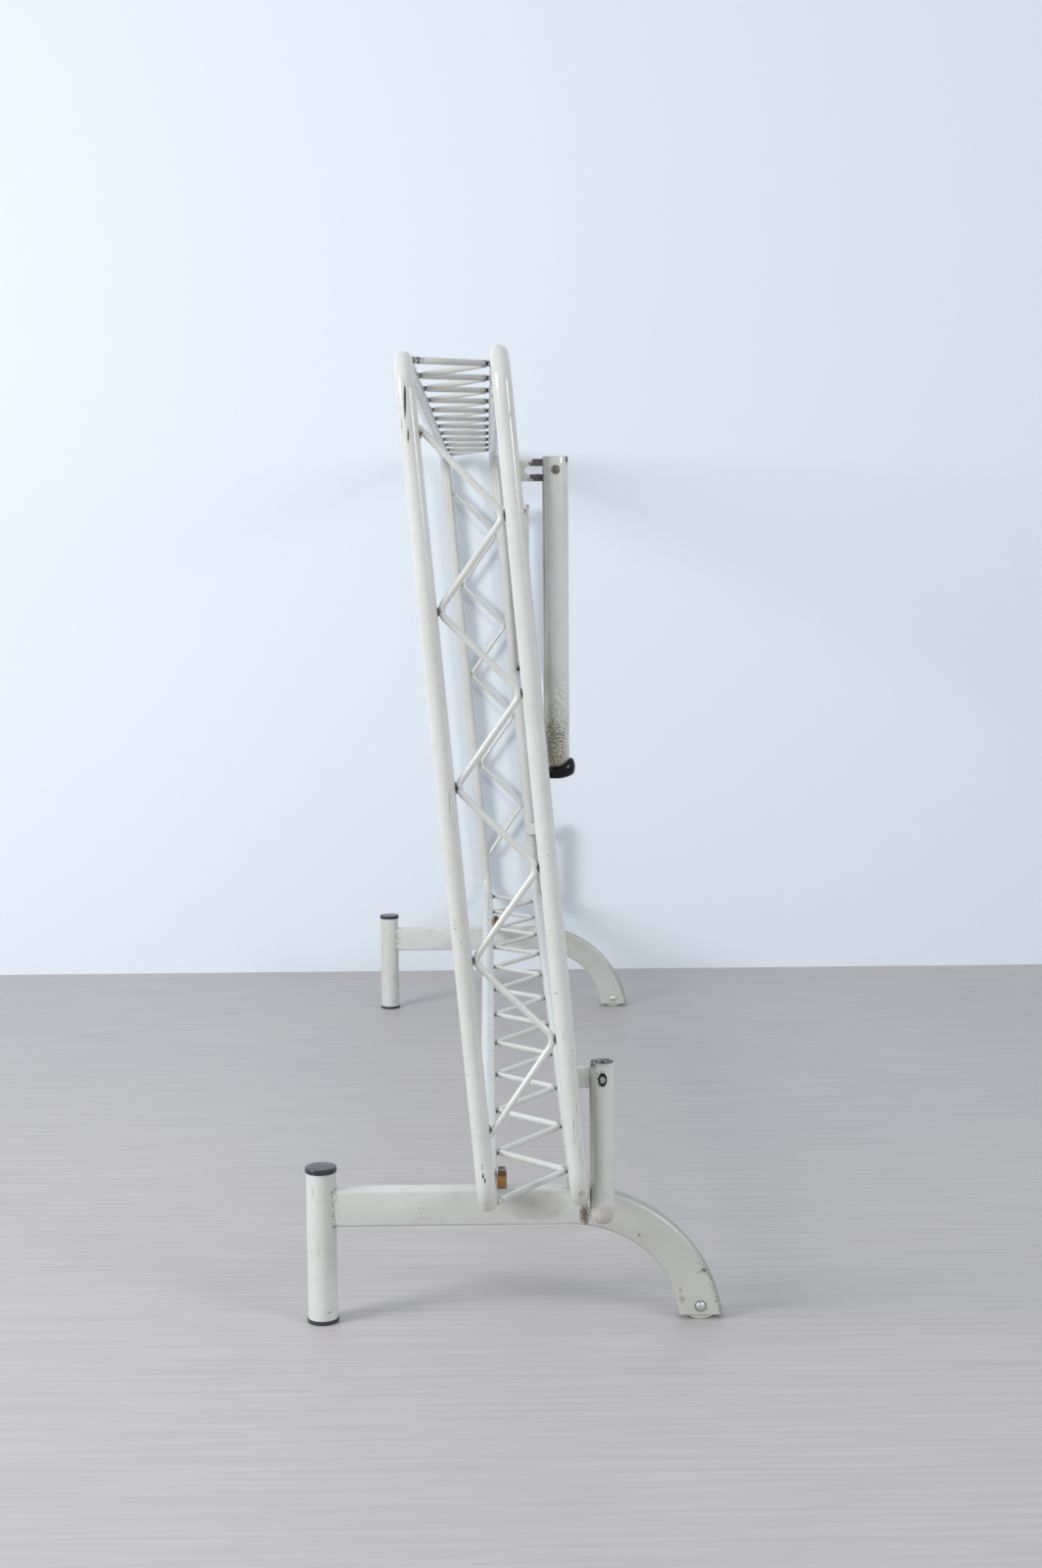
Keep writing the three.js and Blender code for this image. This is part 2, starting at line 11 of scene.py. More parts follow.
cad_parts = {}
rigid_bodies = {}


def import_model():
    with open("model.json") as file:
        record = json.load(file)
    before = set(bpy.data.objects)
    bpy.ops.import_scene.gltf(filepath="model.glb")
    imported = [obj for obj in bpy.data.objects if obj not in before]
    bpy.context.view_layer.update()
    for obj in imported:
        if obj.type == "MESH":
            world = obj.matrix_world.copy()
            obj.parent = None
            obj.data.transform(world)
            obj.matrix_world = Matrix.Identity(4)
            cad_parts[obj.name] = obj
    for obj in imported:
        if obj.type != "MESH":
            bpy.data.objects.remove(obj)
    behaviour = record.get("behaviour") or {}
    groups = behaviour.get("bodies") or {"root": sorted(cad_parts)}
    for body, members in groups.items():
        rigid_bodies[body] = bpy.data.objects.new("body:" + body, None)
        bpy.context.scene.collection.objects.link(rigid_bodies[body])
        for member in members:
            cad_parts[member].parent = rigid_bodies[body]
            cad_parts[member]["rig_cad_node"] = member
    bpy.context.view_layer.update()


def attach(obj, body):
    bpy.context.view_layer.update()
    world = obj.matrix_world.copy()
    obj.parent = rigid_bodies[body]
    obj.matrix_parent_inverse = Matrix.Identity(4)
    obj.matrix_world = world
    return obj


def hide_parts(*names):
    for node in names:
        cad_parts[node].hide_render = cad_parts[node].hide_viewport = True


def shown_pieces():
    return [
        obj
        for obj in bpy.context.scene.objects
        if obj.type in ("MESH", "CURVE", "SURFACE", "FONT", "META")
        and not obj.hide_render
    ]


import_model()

MM = 0.001
FRONT, BACK = "front", "back"
ENDS = {FRONT: -1, BACK: 1}

# Loops and rods
FRAME_LENGTH = 2280.0
FRAME_HEIGHT = 978.0
LOOP_SPACING = 107.7
LEAN = math.radians(5.1)
LOOP_RADIUS = 11.0
LOOP_BEND = 40.0
LEFT_RAIL_X = -31.4
RIGHT_LOOP_DROP = 2.9  # how far the right loop sits below the left one, down the lean
ROD_RADIUS = 4.0
ROD_PITCH = 200.0
ROD_BEND = 14.0
ROD_BEAD_LENGTH = 12.0
ROD_BEAD_WIDTH = 2.6
RAIL_PERIODS = 11
END_PERIODS = 4
END_ROD_START = 95.0
ROD_OFFSET = LOOP_RADIUS + ROD_RADIUS

# Feet
FOOT_Y = {FRONT: -1006.0, BACK: 785.0}
STAND_WIDTH = 510.8
POST_RADIUS = 18.5
POST_WALL = 2.0
POST_HEIGHT = 195.6
CAP_RADIUS = 19.5
TOP_CAP_RIM = 6.6
TOP_CAP_CROWN = 0.5
FOOT_CAP_RIM = 5.0
BAR_HEIGHT = 46.0
BAR_THICKNESS = 25.0
BAR_WALL = 2.0
BAR_CORNER = 4.0
BAR_TOP = 167.5
BAR_SWEEP = 168.5
BAR_CUT_Z = 6.0
FLARE_START = math.radians(45)
FLARE_LENGTH = math.radians(35)
FLARE = 0.3
RAIL_GAP = 0.3  # under the left rail, and between it and the clip
GLIDE_X = 227.5
GLIDE_HALF_WIDTH = 18.0
GLIDE_CURVE = 28.5
GLIDE_TOP = 30.0
RIVET_Z = 17.0
RIVET_RADIUS = 3.0
RIVET_HEAD_RADIUS = 5.7
RIVET_HEAD_HEIGHT = 3.0
CLIP_WIDTH = 11.0
CLIP_DEPTH = 20.0
CLIP_HEIGHT = 22.0
SCREW_RADIUS = 1.75
SCREW_HEAD_RADIUS = 3.2
SCREW_SINK = 3.6
POST_X = CAP_RADIUS - STAND_WIDTH / 2
BAR_CENTRE_Z = BAR_TOP - BAR_HEIGHT / 2
SWEEP_CENTRE_Z = BAR_CENTRE_Z - BAR_SWEEP
BAR_OUTER_SWEEP = BAR_SWEEP + BAR_HEIGHT / 2
BAR_SWEEP_X = STAND_WIDTH / 2 - math.sqrt(BAR_OUTER_SWEEP**2 - (BAR_CUT_Z - SWEEP_CENTRE_Z) ** 2)
LEFT_RAIL_Z = BAR_TOP + RAIL_GAP + LOOP_RADIUS
CLIP_X = LEFT_RAIL_X + LOOP_RADIUS + RAIL_GAP + CLIP_WIDTH / 2
CLIP_TOP = BAR_TOP + RAIL_GAP + CLIP_HEIGHT
SEAT_SIZE = 16.0

# Arms
ARM_INSET = 28.0
ARM_RADIUS = 14.75
ARM_WALL = 1.75
SAW_DEPTH = 13.5  # of the cut for the plate, below the pivot
PLATE_HEIGHT = 25.0
PLATE_THICKNESS = 5.0
SPACER_WIDTH = 11.0
PIN_RADIUS = 4.0
PIN_TAIL = 9.0
PIN_PLAY = 0.25
SLOT_RADIUS = 4.5
NUT_RADIUS = 7.5
NUT_HEIGHT = 6.0
TIP_DEPTH = 10.5  # of the black tip's sole, below the arm's end
CUT_REACH = 20.0  # how far cutting tools stand out past a tube
ARMS = {
    "upper": {"x": 51.4, "z": 1030.0, "above": 15.0, "below": 338.5, "travel": 30.0},
    "lower": {"x": 102.2, "z": 329.6, "above": 18.5, "below": 176.5, "travel": 0.0},
}

X, Y, Z = Vector((1, 0, 0)), Vector((0, 1, 0)), Vector((0, 0, 1))
ANY_DEPTH = 1e6  # a radius so long that only the other two count
FACE_FRONT = Matrix.Rotation(math.pi / 2, 4, "X")  # turns an outline in XY to stand in XZ


# ---- Places ----


def frame_point(across, y, up):
    """A point across from the left lower rail, along it, and up the lean."""
    return Vector((
        LEFT_RAIL_X + across * math.cos(LEAN) - up * math.sin(LEAN),
        y,
        LEFT_RAIL_Z + across * math.sin(LEAN) + up * math.cos(LEAN),
    ))


LEAN_UP = (frame_point(0, 0, 1) - frame_point(0, 0, 0)).normalized()
LEAN_ACROSS = (frame_point(1, 0, 0) - frame_point(0, 0, 0)).normalized()
RIGHT_RAIL = frame_point(LOOP_SPACING, 0, -RIGHT_LOOP_DROP)
SEAT_X = RIGHT_RAIL.x - 3
SEAT_TOP = RIGHT_RAIL.z - LOOP_RADIUS + 1.0


def upright_x(z):
    """Where the right loop's leaning upright is at a height."""
    return RIGHT_RAIL.x - (z - RIGHT_RAIL.z) * math.tan(LEAN)


# ---- Mesh helpers ----

SHARP_ANGLE = 35.0


def add_to_scene(name, data):
    obj = bpy.data.objects.new(name, data)
    bpy.context.scene.collection.objects.link(obj)
    return obj


def shade_smooth(mesh, sharp_angle):
    mesh.polygons.foreach_set("use_smooth", [True] * len(mesh.polygons))
    mesh.set_sharp_from_angle(angle=math.radians(sharp_angle))


def mesh_object(name, bm, sharp_angle=SHARP_ANGLE):
    mesh = bpy.data.meshes.new(name)
    bm.to_mesh(mesh)
    bm.free()
    shade_smooth(mesh, sharp_angle)
    return add_to_scene(name, mesh)


def new_object(name, bm, sharp_angle=SHARP_ANGLE):
    """Turns a bmesh in millimetres into an object in metres."""
    bmesh.ops.remove_doubles(bm, verts=bm.verts, dist=1e-4)
    bmesh.ops.recalc_face_normals(bm, faces=bm.faces)
    bmesh.ops.scale(bm, vec=(MM, MM, MM), verts=bm.verts)
    return mesh_object(name, bm, sharp_angle)


def evaluated_mesh(obj):
    depsgraph = bpy.context.evaluated_depsgraph_get()
    return bpy.data.meshes.new_from_object(obj.evaluated_get(depsgraph))


def bake_modifiers(obj):
    """Replaces an object's mesh with what its modifiers make of it."""
    mesh = evaluated_mesh(obj)
    obj.modifiers.clear()
    obj.data = mesh


def cut(obj, *tools):
    for tool in tools:
        modifier = obj.modifiers.new("cut", "BOOLEAN")
        modifier.operation = "DIFFERENCE"
        modifier.solver = "EXACT"
        modifier.object = tool
    bake_modifiers(obj)
    for tool in tools:
        bpy.data.objects.remove(tool)
    return obj


def round_edges(obj, width, angle):
    modifier = obj.modifiers.new("round", "BEVEL")
    modifier.width = width * MM
    modifier.segments = 2
    modifier.limit_method = "ANGLE"
    modifier.angle_limit = math.radians(angle)
    bake_modifiers(obj)
    shade_smooth(obj.data, SHARP_ANGLE)
    return obj


def bent_path(corners, radius, bend_steps, spacing, closed=False):
    """Stations (point, tangent) along straight stretches and round bends."""
    count = len(corners)
    stations = []
    indices = range(count) if closed else range(1, count - 1)
    if not closed:
        stations.append((corners[0], (corners[1] - corners[0]).normalized()))
    for i in indices:
        corner = corners[i]
        into = (corner - corners[i - 1]).normalized()
        out = (corners[(i + 1) % count] - corner).normalized()
        turn = into.angle(out)
        start = corner - into * radius * math.tan(turn / 2)
        inward = (out - into * out.dot(into)).normalized()
        for step in range(bend_steps + 1):
            angle = turn * step / bend_steps
            point = start + into * radius * math.sin(angle) + inward * radius * (1 - math.cos(angle))
            tangent = into * math.cos(angle) + inward * math.sin(angle)
            stations.append((point, tangent.normalized()))
    if not closed:
        stations.append((corners[-1], (corners[-1] - corners[-2]).normalized()))
    return fill_straights(stations, spacing, closed)


def fill_straights(stations, spacing, closed):
    """Adds stations on the straight stretches, at most a spacing apart."""
    filled = []
    last = len(stations) if closed else len(stations) - 1
    for i in range(last):
        point, tangent = stations[i]
        target, target_tangent = stations[(i + 1) % len(stations)]
        filled.append((point, tangent))
        straight = tangent.angle(target_tangent) < 1e-3
        pieces = max(1, math.ceil((target - point).length / spacing)) if straight else 1
        for k in range(1, pieces):
            filled.append((point.lerp(target, k / pieces), tangent))
    if not closed:
        filled.append(stations[-1])
    return filled


def skin_between(bm, a, b):
    """Adds the faces between two rings of vertices, leaving out corners that coincide."""
    for k in range(len(a)):
        n = (k + 1) % len(a)
        corners = list(dict.fromkeys((a[k], a[n], b[n], b[k])))
        if len(corners) > 2:
            bm.faces.new(corners)


def sweep_rings(bm, stations, section, normal, closed=False):
    """Adds a skin through the section placed at every station. Returns the rings."""
    rings = []
    for point, tangent in stations:
        side = tangent.cross(normal).normalized()
        rings.append([bm.verts.new(point + side * u + normal * v) for u, v in section])
    for i in range(len(rings) if closed else len(rings) - 1):
        skin_between(bm, rings[i], rings[(i + 1) % len(rings)])
    return rings


def circle(radius, sides):
    return arc_points(0, 0, radius, 0, 360, sides)[:-1]


def rounded_rectangle(width, height, corner, steps):
    points = []
    for quarter, (toward_x, toward_y) in enumerate(((1, 1), (-1, 1), (-1, -1), (1, -1))):
        x = toward_x * (width / 2 - corner)
        y = toward_y * (height / 2 - corner)
        points += arc_points(x, y, corner, 90 * quarter, 90 * (quarter + 1), steps)
    return points


def lathe(name, profile, sides, place_matrix, closed=False):
    """A turned piece about Z from (radius, height) pairs, then placed by a matrix in mm."""
    bm = bmesh.new()
    rings = []
    for radius, height in profile:
        if radius < 1e-6:
            rings.append([bm.verts.new((0, 0, height))] * sides)
        else:
            rings.append([bm.verts.new((u, v, height)) for u, v in circle(radius, sides)])
    if closed:
        rings.append(rings[0])
    for a, b in zip(rings, rings[1:]):
        skin_between(bm, a, b)
    bmesh.ops.transform(bm, matrix=place_matrix, verts=bm.verts)
    return new_object(name, bm)


def arc_points(x, y, radius, start, end, steps):
    """Points on an arc about (x, y), from one angle to another in degrees."""
    points = []
    for k in range(steps + 1):
        angle = math.radians(start + (end - start) * k / steps)
        points.append((x + radius * math.cos(angle), y + radius * math.sin(angle)))
    return points


def solid_outline(name, outlines, depth, bevel, place_matrix):
    """A thick flat piece with rounded edges. Outlines lie in XY, holes included."""
    curve = bpy.data.curves.new(name, "CURVE")
    curve.dimensions = "2D"
    curve.fill_mode = "BOTH"
    curve.extrude = (depth / 2 - bevel) * MM
    curve.bevel_depth = bevel * MM
    curve.offset = -bevel * MM
    curve.bevel_resolution = 2
    for outline in outlines:
        spline = curve.splines.new("POLY")
        spline.points.add(len(outline) - 1)
        for point, (x, y) in zip(spline.points, outline):
            point.co = (x * MM, y * MM, 0, 1)
        spline.use_cyclic_u = True
    holder = add_to_scene(name, curve)
    mesh = evaluated_mesh(holder)
    bpy.data.objects.remove(holder)
    bm = bmesh.new()
    bm.from_mesh(mesh)
    bmesh.ops.remove_doubles(bm, verts=bm.verts, dist=1e-6)
    bmesh.ops.scale(bm, vec=(1 / MM, 1 / MM, 1 / MM), verts=bm.verts)
    bmesh.ops.transform(bm, matrix=place_matrix, verts=bm.verts)
    return new_object(name, bm)


def box_tool(low, high):
    bm = bmesh.new()
    bmesh.ops.create_cube(bm, size=1.0)
    size = Vector(high) - Vector(low)
    centre = (Vector(high) + Vector(low)) / 2
    bmesh.ops.scale(bm, vec=size, verts=bm.verts)
    bmesh.ops.translate(bm, vec=centre, verts=bm.verts)
    return new_object("tool", bm)


def rod_tool(radius, start, end, stretch=1.0):
    """A plain rod from start to end, for cutting holes. Stretch makes it oval along Z."""
    length = (end - start).length
    bm = bmesh.new()
    bmesh.ops.create_cone(bm, cap_ends=True, segments=40, radius1=radius, radius2=radius, depth=length)
    turn = (end - start).to_track_quat("Z", "Y").to_matrix().to_4x4()
    bmesh.ops.transform(bm, matrix=turn, verts=bm.verts)
    bmesh.ops.scale(bm, vec=(1, 1, stretch), verts=bm.verts)
    bmesh.ops.translate(bm, vec=(start + end) / 2, verts=bm.verts)
    return new_object("tool", bm)


def joined(name, objects):
    """Joins objects into one, keeping each shell as it is."""
    bm = bmesh.new()
    for obj in objects:
        bm.from_mesh(obj.data)
        bpy.data.objects.remove(obj)
    return mesh_object(name, bm)


def paint(obj, *finishes):
    obj.data.materials.clear()
    for finish in finishes:
        obj.data.materials.append(finish)
    return obj


def place(obj, body, slot, *nodes):
    """Ties a finished piece to its body and hides the CAD nodes it stands for. Its material slot is not
    used.
    """
    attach(obj, body)
    if nodes:
        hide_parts(*nodes)
    return obj


# ---- Welds ----

welds = []  # where metal is joined: (point in mm, reach in mm)


def add_bead(bm, centre, along, out, length, width, seed):
    """One fillet weld: a rippled, tapering ridge along a seam."""
    rng = random.Random(seed)
    across = along.cross(out).normalized()
    rings = []
    steps, sides = 12, 8
    for i in range(steps + 1):
        t = i / steps
        taper = math.sin(math.pi * min(max(t, 0.04), 0.96)) ** 0.45
        ripple = 1 + 0.13 * math.sin(t * length * 1.9 + rng.random()) + rng.uniform(-0.05, 0.05)
        middle = centre + along * (t - 0.5) * length
        section = circle(width / 2 * taper * ripple, sides)
        rings.append([bm.verts.new(middle + out * u + across * v) for u, v in section])
    for a, b in zip(rings, rings[1:]):
        skin_between(bm, a, b)
    bm.faces.new(rings[0])
    bm.faces.new(rings[-1])


# ---- Node material helpers ----


class Nodes:
    """A thin wrapper that makes node trees short to write."""

    def __init__(self, name):
        self.material = bpy.data.materials.new(name)
        self.material.use_nodes = True
        self.tree = self.material.node_tree
        self.tree.nodes.clear()
        self.output = self.node("OutputMaterial")
        self.shader = self.node("BsdfPrincipled")
        self.link(self.shader.outputs[0], self.output.inputs["Surface"])
        self.coords = self.node("TexCoord").outputs["Object"]

    def node(self, kind, **values):
        """A shader node, with inputs fed by keyword, such as From_Min for the input From Min."""
        node = self.tree.nodes.new("ShaderNode" + kind)
        for key, value in values.items():
            self.feed(value, node.inputs[key.replace("_", " ")])
        return node

    def link(self, a, b):
        self.tree.links.new(a, b)

    def feed(self, value, socket):
        if isinstance(value, bpy.types.NodeSocket):
            self.link(value, socket)
        else:
            socket.default_value = value

    def surface(self, **values):
        """Feeds inputs of the main shader, such as Base_Color, with links or constants."""
        for key, value in values.items():
            self.feed(value, self.shader.inputs[key.replace("_", " ")])

    def scaled(self, scale, offset=(0, 0, 0)):
        return self.node("Mapping", Vector=self.coords, Scale=scale, Location=offset).outputs[0]

    def noise(self, scale, detail=4.0, vector=None):
        vector = vector or self.coords
        node = self.node("TexNoise", Vector=vector, Scale=scale, Detail=detail, Roughness=0.55)
        return node.outputs[0]

    def ragged(self, scale, detail, amount):
        """Noise centred on 0, which makes an edge uneven."""
        return self.times(self.math("SUBTRACT", self.noise(scale, detail), 0.5), amount)

    def ramp(self, value, low, high, out_low=0.0, out_high=1.0):
        node = self.node("MapRange", Value=value, From_Min=low, From_Max=high)
        node.interpolation_type = "SMOOTHSTEP"
        node.inputs["To Min"].default_value = out_low
        node.inputs["To Max"].default_value = out_high
        return node.outputs[0]

    def math(self, operation, a, b):
        node = self.node("Math")
        node.operation = operation
        self.feed(a, node.inputs[0])
        self.feed(b, node.inputs[1])
        return node.outputs[0]

    def times(self, a, b):
        return self.math("MULTIPLY", a, b)

    def plus(self, a, b):
        return self.math("ADD", a, b)

    def larger(self, a, b):
        return self.math("MAXIMUM", a, b)

    def mix(self, factor, a, b):
        node = self.node("Mix")
        node.data_type = "RGBA"
        self.feed(factor, node.inputs[0])
        for value, socket in ((a, node.inputs[6]), (b, node.inputs[7])):
            if not isinstance(value, bpy.types.NodeSocket):
                value = (*value, 1.0)
            self.feed(value, socket)
        return node.outputs[2]

    def cover(self, color, mask, opacity, top):
        """Lays the top colour over a colour where the mask is 1."""
        return self.mix(self.times(mask, opacity), color, top)

    def attribute(self, name):
        node = self.node("Attribute")
        node.attribute_name = name
        return node.outputs["Fac"]

    def near(self, centre, radii):
        """0 at a place and 1 at the edge of an ellipsoid round it, in mm."""
        scale = [1 / (r * MM) for r in radii]
        offset = [-c * MM * k for c, k in zip(centre, scale)]
        node = self.node("VectorMath")
        node.operation = "LENGTH"
        self.link(self.scaled(scale, offset), node.inputs[0])
        return node.outputs["Value"]

    def axis(self, index):
        """The place along X, Y or Z, in metres."""
        return self.node("SeparateXYZ", Vector=self.coords).outputs[index]

    def bump(self, height, distance, strength):
        node = self.node("Bump", Strength=strength, Distance=distance, Height=height)
        self.link(node.outputs[0], self.shader.inputs["Normal"])


# Linear colours
LACQUER = (0.645, 0.645, 0.61)
LACQUER_WARM = (0.60, 0.595, 0.545)
LACQUER_DIM = tuple(0.9 * c for c in LACQUER_WARM)
# dark grime; also the colour of the painted contact shadow round the foot's rivet
GRIME_AND_SHADE = (0.055, 0.042, 0.030)
RUST = (0.16, 0.065, 0.028)
TAN = (0.36, 0.26, 0.14)
STEEL = (0.10, 0.092, 0.085)
OLIVE = (0.20, 0.17, 0.09)
BLACK = (0.02, 0.019, 0.018)


def lacquer(name, along=2, marks=(), speckle=0.0, speckle_z=None, chip_level=0.63, shaded_and_worn_bend=False):
    """Old off-white lacquer: uneven tone, fine scratches, chips, and dirt where the mesh says so.

    along is the axis that scratches run along. speckle is how stained the part is within speckle_z.
    A higher chip_level leaves fewer chips. shaded_and_worn_bend paints shade over a foot bar's bend,
    darker on its outer face, and wears its outer edge.
    """
    n = Nodes(name)
    color = n.mix(n.ramp(n.noise(7, 5), 0.35, 0.72), LACQUER, LACQUER_WARM)
    color = n.cover(color, n.ramp(n.noise(38, 4), 0.5, 0.75), 0.4, LACQUER_DIM)
    # hairline scratches: noise stretched along the tube, cut to thin dark lines
    stretch = [1100.0, 1100.0, 1100.0]
    stretch[along] = 32.0
    lines = n.noise(1, 1, n.scaled(stretch))
    rubbed = n.ramp(n.noise(11, 2), 0.50, 0.62)
    hairlines = n.times(n.ramp(lines, 0.70, 0.74), rubbed)
    color = n.cover(color, hairlines, 0.5, (0.20, 0.19, 0.16))
    # chips through to the steel: small islands, with a rusty middle
    chipped = n.ramp(n.noise(17, 2), 0.50, 0.68)
    chips = n.ramp(n.times(n.noise(340, 3), chipped), chip_level, chip_level + 0.025)
    chip_color = n.mix(n.ramp(n.noise(600, 2), 0.4, 0.6), STEEL, RUST)
    color = n.cover(color, chips, 0.8, chip_color)
    # dirt that gathers at welds and joints, from the mesh's own attribute
    dirt = n.ramp(n.plus(n.attribute("grime"), n.ragged(300, 5, 1.3)), 0.33, 0.68)
    color = n.cover(color, dirt, 0.88, GRIME_AND_SHADE)
    dull = dirt
    if speckle:
        color = stain(n, color, speckle, speckle_z)
    # a foot bar's bend: painted shade, and wear along its outer edge
    if shaded_and_worn_bend:
        color, dull_face = shade_and_wear_bend(n, color)
        dull = n.larger(dull, dull_face)
    # marks: wear and stains, and on some parts painted shade
    color, bare = lay_marks(n, color, marks, chips)
    gloss = n.ramp(n.noise(24, 4), 0.3, 0.75, 0.16, 0.30)
    rough = n.plus(gloss, n.times(n.larger(dull, bare), 0.4))
    n.surface(Base_Color=color, Roughness=rough, Coat_Weight=0.35, Coat_Roughness=0.10)
    peel = n.times(n.noise(420, 3), 0.22)
    dents = n.times(n.larger(bare, hairlines), -1.0)
    n.bump(n.plus(n.plus(peel, dents), n.times(dirt, 0.5)), 0.00012, 0.5)
    return n.material


def stain(n, color, amount, z_range):
    """Dark specks and a haze that grow from the top of a range of heights to its bottom."""
    bottom, top = z_range
    band = n.ramp(n.axis(2), top * MM, bottom * MM)
    specks = n.times(n.ramp(n.noise(430, 2), 0.545, 0.60), n.ramp(n.noise(70, 3), 0.38, 0.60))
    color = n.cover(color, n.times(specks, band), 0.9 * amount, (0.13, 0.11, 0.055))
    haze = n.times(n.ramp(n.noise(60, 4), 0.35, 0.65), band)
    return n.cover(color, haze, 0.4 * amount, (0.36, 0.34, 0.25))


def shade_and_wear_bend(n, color):
    """A foot bar's bend: painted shade all over it, darker painted shade and dullness on its outer face,
    and wear along the outer edge.
    """
    radii = (BAR_OUTER_SWEEP, ANY_DEPTH, BAR_OUTER_SWEEP)
    reach = n.near((BAR_SWEEP_X, 0, SWEEP_CENTRE_Z), radii)
    bent = n.ramp(n.axis(0), (BAR_SWEEP_X + 10) * MM, (BAR_SWEEP_X + 50) * MM)
    # painted shade: the whole bend darker
    color = n.cover(color, bent, 0.25, (0.36, 0.34, 0.28))
    outer_face = n.times(n.ramp(reach, 0.9975, 0.9995), bent)
    # painted shade: the outer face, turned away from the key light, darker still
    color = n.cover(color, outer_face, 0.7, (0.27, 0.28, 0.23))
    edge = n.ramp(n.plus(reach, n.ragged(620, 5, 0.15)), 0.968, 0.988)
    low_down = n.ramp(n.axis(2), 105 * MM, 50 * MM)
    worn = n.times(n.times(edge, low_down), bent)
    return n.cover(color, worn, 0.62, (0.15, 0.135, 0.09)), outer_face


def lay_marks(n, color, marks, bare):
    """Lays worn places, stains and painted shade over a colour. Returns it with how bare the paint is,
    where painted shade counts as bare too.

    A mark is (centre, radii, colour, breakup, opacity, grain): an ellipsoid in mm, broken into
    flecks by noise of a given grain. Grain may be left out.
    """
    for centre, radii, mark_color, breakup, opacity, *grain in marks:
        closeness = n.math("SUBTRACT", 1.0, n.near(centre, radii))
        flecks = n.ragged(grain[0] if grain else 650.0, 4.0, 4 * breakup)
        mask = n.times(n.ramp(n.plus(closeness, flecks), 0.25, 0.5), n.ramp(closeness, -0.15, 0.1))
        color = n.cover(color, mask, opacity, mark_color)
        bare = n.larger(bare, mask)
    return color, bare


def marks_from(origin, rows):
    """Marks with their centres given from an origin."""
    return [(origin + Vector(offset), *rest) for offset, *rest in rows]


def weld_material():
    n = Nodes("weld_lacquer")
    grain = n.noise(520, 5)
    color = n.cover(LACQUER_WARM, n.ramp(grain, 0.50, 0.70), 0.7, GRIME_AND_SHADE)
    color = n.cover(color, n.ramp(n.noise(210, 3), 0.56, 0.72), 0.6, RUST)
    n.surface(Base_Color=color, Roughness=n.ramp(grain, 0.3, 0.7, 0.4, 0.75))
    n.bump(grain, 0.0003, 0.6)
    return n.material


def bare_steel(name, painted_below_x=None, tone=1.0, pale_spot_at=None):
    """Dark worn steel with rust, still painted below an X, and pale and less metallic round a place, in
    mm.
    """
    n = Nodes(name)
    dark = tuple(tone * c for c in (0.085, 0.078, 0.072))
    light = tuple(tone * c for c in (0.17, 0.155, 0.14))
    color = n.mix(n.ramp(n.noise(90, 5), 0.4, 0.65), dark, light)
    rust = n.ramp(n.noise(160, 6), 0.48, 0.66)
    color = n.cover(color, rust, 0.8, RUST)
    metal = n.math("SUBTRACT", 0.75, n.times(rust, 0.7))
    if painted_below_x is not None:
        edge = n.plus(n.axis(0), n.ragged(260, 5, 0.030))
        paint_left = n.ramp(edge, (painted_below_x - 0.6) * MM, (painted_below_x + 0.6) * MM, 1.0, 0.0)
        color = n.mix(paint_left, color, LACQUER_WARM)
        metal = n.times(metal, n.math("SUBTRACT", 1.0, paint_left))
    if pale_spot_at is not None:
        # a pale, less metallic patch round a place
        reach = n.plus(n.near(pale_spot_at, (4.0, ANY_DEPTH, 5.4)), n.ragged(420, 4, 1.2))
        clean = n.ramp(reach, 0.75, 1.0, 1.0, 0.0)
        color = n.cover(color, clean, 0.85, (0.40, 0.41, 0.37))
        metal = n.times(metal, n.math("SUBTRACT", 1.0, clean))
    n.surface(Base_Color=color, Metallic=metal, Roughness=n.ramp(rust, 0.0, 1.0, 0.38, 0.8))
    n.bump(n.noise(700, 4), 0.00015, 0.5)
    return n.material


def tube_inside():
    """The bare inside of a painted tube: dull grey steel with dark flecks."""
    n = Nodes("tube_inside")
    color = n.mix(n.ramp(n.noise(260, 5), 0.46, 0.56), (0.33, 0.36, 0.36), (0.07, 0.068, 0.06))
    n.surface(Base_Color=color, Roughness=0.8)
    n.bump(n.noise(600, 4), 0.0002, 0.6)
    return n.material


def zinc_steel():
    n = Nodes("zinc_plate")
    spangle = n.noise(520, 3)
    color = n.mix(n.ramp(spangle, 0.35, 0.7), (0.80, 0.80, 0.82), (0.60, 0.60, 0.60))
    color = n.cover(color, n.ramp(n.noise(300, 5), 0.66, 0.74), 0.5, RUST)
    n.surface(Base_Color=color, Metallic=0.9, Roughness=n.ramp(spangle, 0.3, 0.7, 0.18, 0.32))
    n.bump(spangle, 0.0001, 0.4)
    return n.material


def plastic(name, dark, light, rough, scuff, grain=900.0, coat=0.0, specular=0.5):
    """Moulded plastic with scratches and dust. rough is its roughness where clean and where dusty."""
    n = Nodes(name)
    color = n.mix(n.ramp(n.noise(60, 5), 0.3, 0.7), dark, light)
    scratches = n.ramp(n.noise(1, 1, n.scaled((1300.0, 90.0, 1300.0))), 0.66, 0.72)
    dust = n.ramp(n.noise(260, 6), 0.50, 0.75)
    pale = tuple(0.22 + 0.8 * c for c in light)
    color = n.cover(color, n.larger(scratches, dust), scuff, pale)
    n.surface(
        Base_Color=color,
        Roughness=n.ramp(dust, 0.0, 1.0, *rough),
        Specular_IOR_Level=specular,
        Coat_Weight=coat,
        Coat_Roughness=0.12,
    )
    n.bump(n.noise(grain, 3.0), 0.0001, 0.45)
    return n.material


